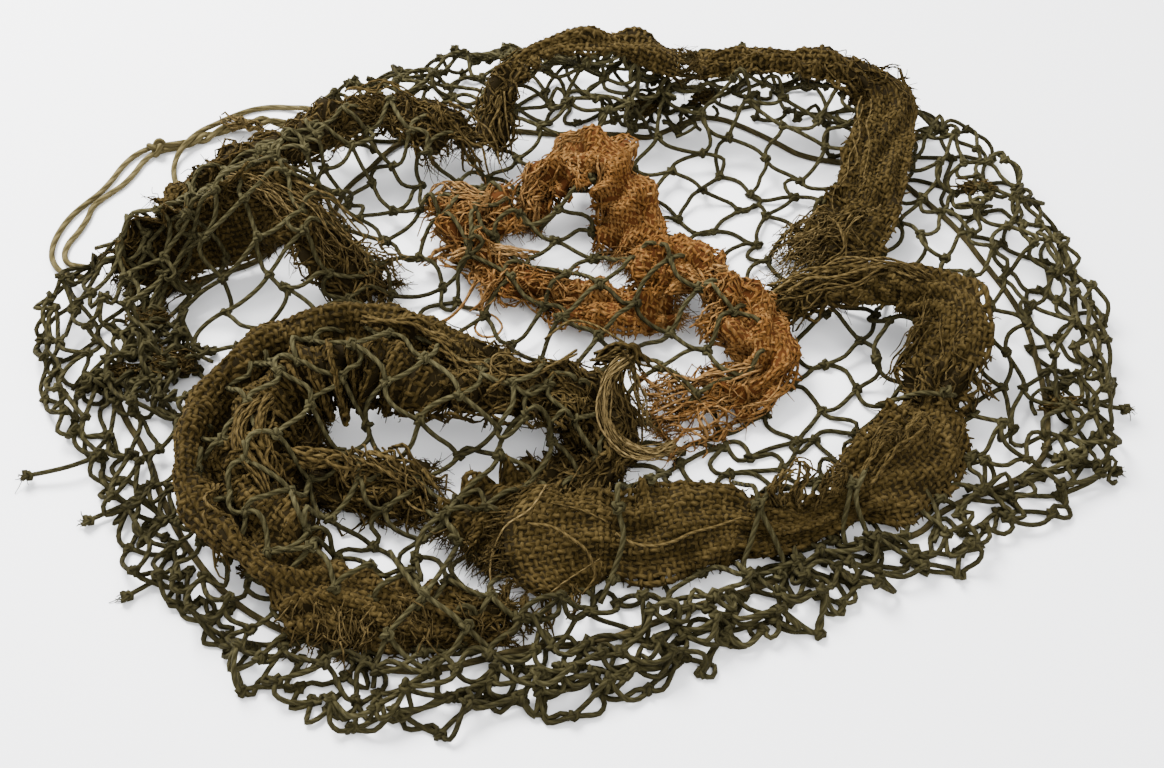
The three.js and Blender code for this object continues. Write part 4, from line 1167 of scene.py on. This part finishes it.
def near_rim(points, share):
    """Whether each point lies further out than this share of the rim's reach."""
    return np.hypot(points[..., 0], points[..., 1]) > share * around_rim(bearing_of(points), REACH)


def bell(points, x, y, reach):
    """One at a place, and less the further from it that a point lies."""
    return np.exp(-((points[:, 0] - x) ** 2 + (points[:, 1] - y) ** 2) / reach ** 2)


def crown_height(points, rho, turn):
    """How high the crown is held at points that are rho of the way out to the rim."""
    swell = around_rim(turn, SWELL) * smooth(*SWELL_FROM, rho)
    hump = np.zeros(len(points))
    for x, y, reach, rise in HUMPS:
        hump = np.maximum(hump, rise * bell(points, x, y, reach))
    to_rim = smooth(*RIM_FROM, rho)
    return NET_CORD / 2 + np.maximum(swell, hump * (1 - to_rim)) * (1 - RIM_DROP * to_rim)


# The crown's knots: a square of meshes drawn out to a round, uneven, and gathered in places.
draw = np.random.default_rng(NET_SEED)
row, column = np.meshgrid(np.arange(CELLS + 1), np.arange(CELLS + 1), indexing="ij")
u, v = 2 * column / CELLS - 1, 2 * row / CELLS - 1
round_knots = np.stack([u * np.sqrt(1 - v ** 2 / 2), v * np.sqrt(1 - u ** 2 / 2)], axis=-1).reshape(-1, 2)
rho = np.hypot(*round_knots.T)
turn = bearing_of(round_knots) + NET_TURN
crown_reach = rho * (1 + OPEN_MIDDLE * (1 - rho ** 2)) * (around_rim(turn, REACH) - FOLD[0])
knot_home = at_bearing(turn, crown_reach, 0.0)
inside = rho < INNER_KNOTS
for axis in range(2):
    knot_home[:, axis] += inside * draw.normal(0, UNEVEN, len(knot_home))
for x, y, reach, pull in GATHERS:
    drawn = inside * pull * bell(knot_home, x, y, reach)
    knot_home[:, :2] += ((x, y) - knot_home[:, :2]) * drawn[:, None]
knot_home[:, 2] = crown_height(knot_home, rho, turn)
index = np.arange(len(knot_home)).reshape(CELLS + 1, CELLS + 1)
pairs = [
    np.stack([index[1:-1, :-1].ravel(), index[1:-1, 1:].ravel()], axis=1),
    np.stack([index[:-1, 1:-1].ravel(), index[1:, 1:-1].ravel()], axis=1),
]

# Its side: every second knot of the border is one with its neighbour, and rings of knots follow.
border = np.concatenate([index[0, :-1], index[:-1, -1], index[-1, :0:-1], index[:0:-1, 0]])
ring, joined = border[::2], np.arange(len(knot_home))
joined[border[1::2]] = ring
knot_home[ring] = (knot_home[ring] + knot_home[border[1::2]]) / 2
ring_turn = bearing_of(knot_home[ring])
for level in range(RINGS):
    ring_turn = ring_turn + (np.mod(np.roll(ring_turn, -1) - ring_turn + 180, 360) - 180) / 2
    ring_turn = ring_turn + draw.normal(0, RING_UNEVEN[0], len(ring))
    inset = FOLD[1] + (around_rim(ring_turn, UNDER) - FOLD[1]) * level / (RINGS - 1)
    ring_reach = around_rim(ring_turn, REACH) - inset + draw.normal(0, RING_UNEVEN[1], len(ring))
    ring_height = NET_CORD / 2 + around_rim(ring_turn, SWELL) * (FOLD_RISE if level == 0 else 0)
    below_index = len(knot_home) + np.arange(len(ring))
    knot_home = np.concatenate([knot_home, at_bearing(ring_turn, ring_reach, ring_height)])
    joined = np.concatenate([joined, below_index])
    pairs += [np.stack([ring, below_index], axis=1), np.stack([below_index, np.roll(ring, -1)], axis=1)]
    ring = below_index
kept, pairs = np.unique(joined[np.concatenate(pairs)], return_inverse=True)
pairs = pairs.reshape(-1, 2)
knot_home = knot_home[kept]

# Each bar of cord between two knots has three points of its own, and bows by a little to one side.
BAR_SHARES = np.array([0.25, 0.5, 0.75])[None, :, None]
BOW = {  # how far a bar bows, and how much that differs between its points and its two halves
    "least": 0.2, "most": 1.5, "uneven": 0.5, "twist": 1.0,
    "tilt": 0.35, "outward": 1.2,  # of the way it bows, and of that way at the rim
}
LEAST_SLACK, SLACK_SHOWN = 2, 0.45  # cord that isn't needed to span a bar, and its share to the side
OUTER_BARS = 0.9  # share of the rim's reach past which bars bow outward
knots = knot_home.copy()
ends = knots[pairs]
bar_long = draw.uniform(*BAR_LONG, len(pairs))
span = ends[:, 1] - ends[:, 0]
outward = unit(ends.mean(axis=1) * (1, 1, 0))
edge_bar = np.hypot(ends[..., 0], ends[..., 1]).min(axis=1) > OUTER_BARS * around_rim(
    bearing_of(ends[:, 0]), REACH
)
sideways = unit(np.cross(span, (0, 0, 1.0))) * draw.choice((-1, 1), (len(pairs), 1))
tilt = draw.normal(0, BOW["tilt"], span.shape)
bow_way = unit(sideways + tilt + outward * edge_bar[:, None] * BOW["outward"])[:, None]
bow = draw.uniform(BOW["least"], BOW["most"], (len(pairs), 1, 1))
bow = bow + draw.normal(0, BOW["uneven"], (len(pairs), 3, 1))
bow = bow_way * (bow + draw.normal(0, BOW["twist"], (len(pairs), 1, 1)) * np.array([1, 0, -1.0])[:, None])
slack = np.maximum(bar_long ** 2 - np.linalg.norm(span, axis=1) ** 2, LEAST_SLACK ** 2)
slack = np.sqrt(slack)[:, None, None]
inner = ends[:, :1] + span[:, None] * BAR_SHARES + bow_way * slack * SLACK_SHOWN * np.sin(np.pi * BAR_SHARES)
piece_long = (bar_long / 4)[:, None, None]

# The net sinks: cord keeps its length, bends stiffly, and stays clear of the strips and the table.
SETTLING = 170
SWEEPS = 5  # in each step of the settling
PULLS = {
    # shares of the way home that a knot goes in a step: over the table, and up or down
    "place": 0.05, "rim": 0.32, "height": 0.05, "rim_height": 0.2,
    "weight": 0.16,  # how far all sinks in a step
    "stiff": 0.16,  # share of a bend that is straightened in a sweep
}
GIVE = {"bar": 0.42, "knot": 1.6}  # shares of a stretch that are put right in one sweep
LIFT = 1.5  # most that a strip lifts a point in one sweep
RIM_HELD = 0.86  # share of the rim's reach past which knots are held by the rim
# The pull home fades between these shares of the settling, so that half of it is left at its end.
LET_GO = (1.3, 0.7)
bars_at_knot = np.bincount(pairs.ravel(), minlength=len(knots))[:, None]
below_net = [at[share <= UNDER_NET[name]] for name, (share, at) in strip_points.items()]
above_net = [at[share > UNDER_NET[name]] for name, (share, at) in strip_points.items()]
floor_field = height_field(below_net, True) + CLEAR_BELOW + NET_CORD / 2
roof_field = height_field(above_net, False) - CLEAR_ABOVE - NET_CORD / 2
at_rim = near_rim(knot_home, RIM_HELD)
held_place = np.where(at_rim, PULLS["rim"], PULLS["place"])
held_height = np.where(at_rim, PULLS["rim_height"], PULLS["height"])


def kept_clear(points):
    """Points of the cord held above the table and the strips below, and under the strips above."""
    low = np.maximum(field_at(floor_field, points), NET_CORD / 2)
    high = np.maximum(field_at(roof_field, points), NET_CORD / 2)
    height = points[..., 2]
    height = np.where(height < low, np.minimum(low, height + LIFT), height)
    points[..., 2] = np.minimum(height, high)
    return points


def whole_bars():
    """All five points of every bar, from knot to knot."""
    ends = knots[pairs]
    return np.concatenate([ends[:, :1], inner, ends[:, 1:]], axis=1)


for settle in range(SETTLING):
    knots[:, 2] -= PULLS["weight"]
    inner[..., 2] -= PULLS["weight"]
    for _ in range(SWEEPS):
        lines = whole_bars()
        step = np.diff(lines, axis=1)
        long = np.linalg.norm(step, axis=2, keepdims=True)
        fix = step * (GIVE["bar"] * (long - piece_long) / np.maximum(long, 1e-6))
        inner += fix[:, 1:] - fix[:, :-1]
        push = np.zeros_like(knots)
        for axis in range(3):
            push[:, axis] += np.bincount(pairs[:, 0], fix[:, 0, axis], len(knots))
            push[:, axis] -= np.bincount(pairs[:, 1], fix[:, -1, axis], len(knots))
        knots += push * GIVE["knot"] / bars_at_knot
        middle = (lines[:, 2:] + lines[:, :-2]) / 2 + bow
        inner += PULLS["stiff"] * (middle - inner)
        inner = kept_clear(inner)
        knots = kept_clear(knots)
    home = (knot_home - knots) * np.stack([held_place, held_place, held_height], axis=1)
    knots += home * smooth(*LET_GO, settle / SETTLING)

# The settled bars are rounded by a point between every two, on the curve through their neighbours.
lines = whole_bars()
cords = np.empty((len(lines), 9, 3))
cords[:, ::2] = lines
cords[:, 1] = (3 * lines[:, 0] + 6 * lines[:, 1] - lines[:, 2]) / 8
cords[:, 3:7:2] = (9 * (lines[:, 1:3] + lines[:, 2:4]) - lines[:, 0:2] - lines[:, 3:5]) / 16
cords[:, 7] = (3 * lines[:, 4] + 6 * lines[:, 3] - lines[:, 2]) / 8
cords = above(cords, NET_CORD / 2)
net_cord = twisted_finish(
    "net_cord", [(0.006, 0.005, 0.0018), (0.0235, 0.0198, 0.007), (0.07, 0.061, 0.028), (0.1, 0.088, 0.044)],
    lay=0.005, strands=3, relief=0.00035, sheen=0.04,
)
# The net's cord is painted darker where it lies low by the table, a painted shade, and paler where it is held
# up, a painted light.
CORD_SHADES = {"bars": (0.26, 0.34, 0.07), "knots": (0.22, 0.3, 0.06)}  # low down, more high up, uneven
PAINTED_LIGHT_HEIGHTS = (2, 34)


def painted_light_by_height(kind, heights):
    """Darker shades for cord that lies low, a painted shade, and paler ones for cord held up, a painted
    light; each a little uneven.
    """
    low, more, uneven = CORD_SHADES[kind]
    shades = low + more * smooth(*PAINTED_LIGHT_HEIGHTS, heights) + draw.normal(0, uneven, (len(heights), 1))
    return np.clip(shades, 0, 1)


net_bars = piece_of(
    "net_bars", [tubes(cords, NET_CORD / 2, NET_SIDES, painted_light_by_height("bars", cords[..., 2]))],
    net_cord,
)
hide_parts("net")

# The net's knots: each is a small overhand knot that lies along the first bar at it.
KNOT_THICK = 1.04  # of the cord in it, as a share of the net's
KNOT_LOWEST = 0.56  # lowest middle of that cord, in thicknesses of the net's
KNOT_UNEVEN = (0.85, 1.15)
KNOT_ASKEW = 1.2
KNOT_POINTS, KNOT_SIDES = 15, 4
first_bar = np.zeros(len(knots), int)
first_bar[pairs[::-1, 0]] = np.arange(len(pairs))[::-1]
knot_way = cords[first_bar, 1] - cords[first_bar, 0] + draw.normal(0, KNOT_ASKEW, (len(knots), 3))


def knots_at(places, way, size, shade):
    """Small knots of net cord at some places, none of them below the table."""
    lines = knot_lines(places, way, size * np.ones(len(places)), KNOT_POINTS)
    return tubes(above(lines, NET_CORD * KNOT_LOWEST), NET_CORD / 2 * KNOT_THICK, KNOT_SIDES, shade)


# The knots take the same painted shade and painted light by height.
knot_shade = painted_light_by_height("knots", knots[:, 2:3])
knot_size = KNOT_SIZE * draw.uniform(*KNOT_UNEVEN, len(knots))
piece_of("net_knots", [knots_at(knots, knot_way, knot_size, knot_shade)], net_cord)

# ---- cords and scraps caught in the net ---------------------------------------------------
# Cords of the net are drawn tight over the front strip where it is pinched, over the front of the
# loop and over the left strip. Where the net is bunched, torn cord lies in a tangle. Cut cords stand
# out past the rim, each knotted and frayed, and small scraps of hessian hang on knots.
WEAR_SEED = 19
OVER_STRIPS = [
    [(25, -86, 3), (22, -94, 11), (18, -103, 25), (18, -112, 22), (20, -122, 18), (16, -133, 9),
     (11, -143, 3)],
    [(66, -84, 3), (69, -93, 13), (72, -101, 21), (73, -110, 19), (70, -120, 13), (67, -128, 6),
     (71, -137, 3)],
    [(84, -90, 6), (78, -100, 17), (74, -110, 19), (79, -120, 13), (83, -129, 5), (79, -140, 2)],
    [(106, -80, 3), (109, -88, 13), (111, -95, 19), (109, -104, 17), (107, -113, 8), (110, -123, 3)],
    [(120, -82, 12), (116, -93, 20), (112, -103, 18), (116, -113, 9), (121, -122, 3)],
    [(153, -40, 6), (161, -46, 14), (155, -52, 21), (146, -50, 20), (137, -45, 10), (130, -42, 3)],
    [(-58, -104, 10), (-50, -112, 14), (-44, -121, 15), (-47, -131, 11), (-40, -140, 8), (-30, -146, 6)],
    [(-70, -127, 15), (-64, -138, 18), (-55, -149, 18), (-46, -155, 16), (-39, -160, 13), (-31, -165, 7),
     (-23, -170, 2)],
    [(-45, -125, 13), (-49, -137, 17), (-55, -149, 18), (-62, -157, 16), (-68, -163, 12), (-72, -171, 5),
     (-73, -179, 1.5)],
    [(-68, -163, 12), (-61, -169, 7), (-53, -172, 4), (-44, -167, 8), (-39, -160, 13)],
    [(-172, 37, 42), (-167, 41, 31), (-162, 42, 20), (-160, 40, 12), (-163, 32, 10), (-172, 23, 9)],
    [(-172, 37, 42), (-180, 40, 36), (-187, 38, 30), (-192, 33, 25), (-185, 28, 18), (-179, 25, 12),
     (-172, 23, 9)],
    [(-192, 33, 25), (-197, 26, 18), (-200, 17, 12), (-193, 6, 10), (-184, 1, 8), (-184, -12, 9),
     (-187, -24, 7)],
    [(-172, 23, 9), (-177, 13, 8), (-184, 1, 8)],
    [(-192, 33, 25), (-202, 42, 22), (-213, 48, 14), (-223, 50, 9)],
]
CUT_CORD = [(142, -90, 8), (146, -97, 5), (147, -106, 3), (144, -113, 1.5)]
OVER_KNOTS = [
    (18, -112, 23), (16, -135, 7), (72, -109, 21), (111, -98, 20), (155, -51, 22), (81, -131, 5),
    (-45, -122, 16), (117, -115, 8), (-55, -149, 18.5), (-39, -160, 13.5), (-68, -163, 12.5),
    (-53, -172, 4), (-172, 37, 42), (-160, 40, 12), (-172, 23, 9), (-192, 33, 25), (-184, 1, 8),
    (-200, 17, 12),
]
TANGLES = [  # x y z, reach, count
    (-190, -6, 10, 11, 6), (-178, -28, 8, 13, 7), (-197, -32, 7, 10, 5), (-170, -8, 9, 9, 4),
    (-186, 16, 12, 9, 4), (34, 150, 14, 14, 6), (58, 142, 10, 10, 3), (207, -44, 9, 7, 3),
    (214, -72, 5, 6, 3), (191, 80, 20, 6, 2),
]
CUT_ENDS = [  # the bearing at which a cut cord leaves the rim, its length past it, and its height
    (200, 24, 6), (208, 8, 4), (219, 9, 3), (349, 4, 7), (341, 3, 3),
]
SCRAPS = [  # x y z, reach
    (191, 81, 20, 4), (66, 150, 20, 4), (206, -46, 9, 4), (-188, 2, 11, 5), (-174, -22, 8, 6),
    (-196, -28, 7, 5), (34, 149, 15, 6), (-122, -128, 6, 4),
]
TORN_LONG, TORN_POINTS, TORN_SIDES = 44, 19, 4
TORN_TURNS, TORN_RISES = (1.7, (18, 50)), (0.3, (16, 40))  # how much, and over what lengths
TORN_SPREAD = np.array([0.6, 0.6, 0.18])  # shares of a tangle's reach
TIED_KNOT, END_KNOT = 2.4, 2.2
END_INSIDE, END_SHORT = 14, 2  # how far inside the rim a cut cord starts, and short of its length ends
END_DROP, END_UNEVEN, END_STEP = 0.3, 1.5, 2
END_FRINGE = (12, (2, 5), 0.42, 0.4)
CAUGHT_SHADES = {"drawn": 0.5, "torn": (0.1, 0.5), "torn_knot": 0.2, "cut": 0.35}
SCRAP_YARNS = 6  # to each millimetre of a scrap's reach
SCRAP_LONG, SCRAP_POINTS, SCRAP_SWAYS = 30, 9, (12, 36)
SCRAP_APART, SCRAP_DRIFT = 0.4, 0.5  # shares of its reach
SCRAP_SPREAD = (1.4, 0.9, 0.5)
SCRAP_THICK, SCRAP_SHADES = (0.3, 0.7), (0.3, 0.8)


def tangle(x, y, z, reach, count, draw):
    """Short torn cords that curl about one place."""
    run = np.linspace(0, TORN_LONG, TORN_POINTS) * np.ones((count, 1))
    heading = draw.uniform(0, 2 * np.pi, (count, 1)) + TORN_TURNS[0] * sway(draw, run, TORN_TURNS[1])
    lines = np.stack([np.cos(heading), np.sin(heading), 0 * heading], axis=-1).cumsum(axis=1)
    lines = (lines - lines.mean(axis=1, keepdims=True)) * TORN_LONG / (TORN_POINTS - 1)
    lines[..., 2] = TORN_RISES[0] * reach * sway(draw, run, TORN_RISES[1])
    return above((x, y, z) + lines + draw.normal(0, 1, (count, 1, 3)) * TORN_SPREAD * reach, NET_CORD / 2)


draw = np.random.default_rng(WEAR_SEED)
caught = [
    tubes(above(even(route, NET_CORD), NET_CORD / 2)[None], NET_CORD / 2, NET_SIDES, CAUGHT_SHADES["drawn"])
    for route in [*OVER_STRIPS, CUT_CORD]
]
tied_way = draw.normal(size=(len(OVER_KNOTS), 3))
caught.append(knots_at(OVER_KNOTS, tied_way, TIED_KNOT, CAUGHT_SHADES["drawn"]))
for x, y, z, reach, count in TANGLES:
    lines = tangle(x, y, z, reach, count, draw)
    shades = draw.uniform(*CAUGHT_SHADES["torn"], (count, 1))
    caught.append(tubes(lines, NET_CORD / 2, TORN_SIDES, shades))
    places = lines[:, TORN_POINTS // 2]
    caught.append(knots_at(places, draw.normal(size=places.shape), END_KNOT, CAUGHT_SHADES["torn_knot"]))
frayed = []
for turn, long, height in CUT_ENDS:
    away = at_bearing(turn, 1, 0)
    root = away * (around_rim(turn, REACH) - END_INSIDE) + (0, 0, height)
    tip = root + away * (END_INSIDE + long - END_SHORT) - (0, 0, END_DROP * height)
    middle = (root + tip) / 2 + draw.normal(0, END_UNEVEN, 3)
    cut_cord = above(even([root, middle, tip], END_STEP), NET_CORD / 2)
    caught.append(tubes(cut_cord[None], NET_CORD / 2, NET_SIDES, CAUGHT_SHADES["cut"]))
    caught.append(knots_at([tip], [away], END_KNOT, CAUGHT_SHADES["cut"]))
    frayed.append(fringe(tip[None], away[None], *END_FRINGE, draw))
piece_of("caught_cord", caught + frayed, net_cord)
scraps = []
for x, y, z, reach in SCRAPS:
    count = SCRAP_YARNS * reach
    drift = SCRAP_DRIFT * drifts(draw, count, np.linspace(0, SCRAP_LONG, SCRAP_POINTS), SCRAP_SWAYS)
    lines = (x, y, z) + reach * (draw.normal(0, SCRAP_APART, (count, 1, 3)) + drift) * SCRAP_SPREAD
    thick, shades = draw.uniform(*SCRAP_THICK, (count, 1)), draw.uniform(*SCRAP_SHADES, (count, 1))
    scraps.append(tubes(above(lines, ABOVE_TABLE["yarn"]), thick, 3, shades))
piece_of("caught_scraps", scraps, hessian["olive_yarn"])
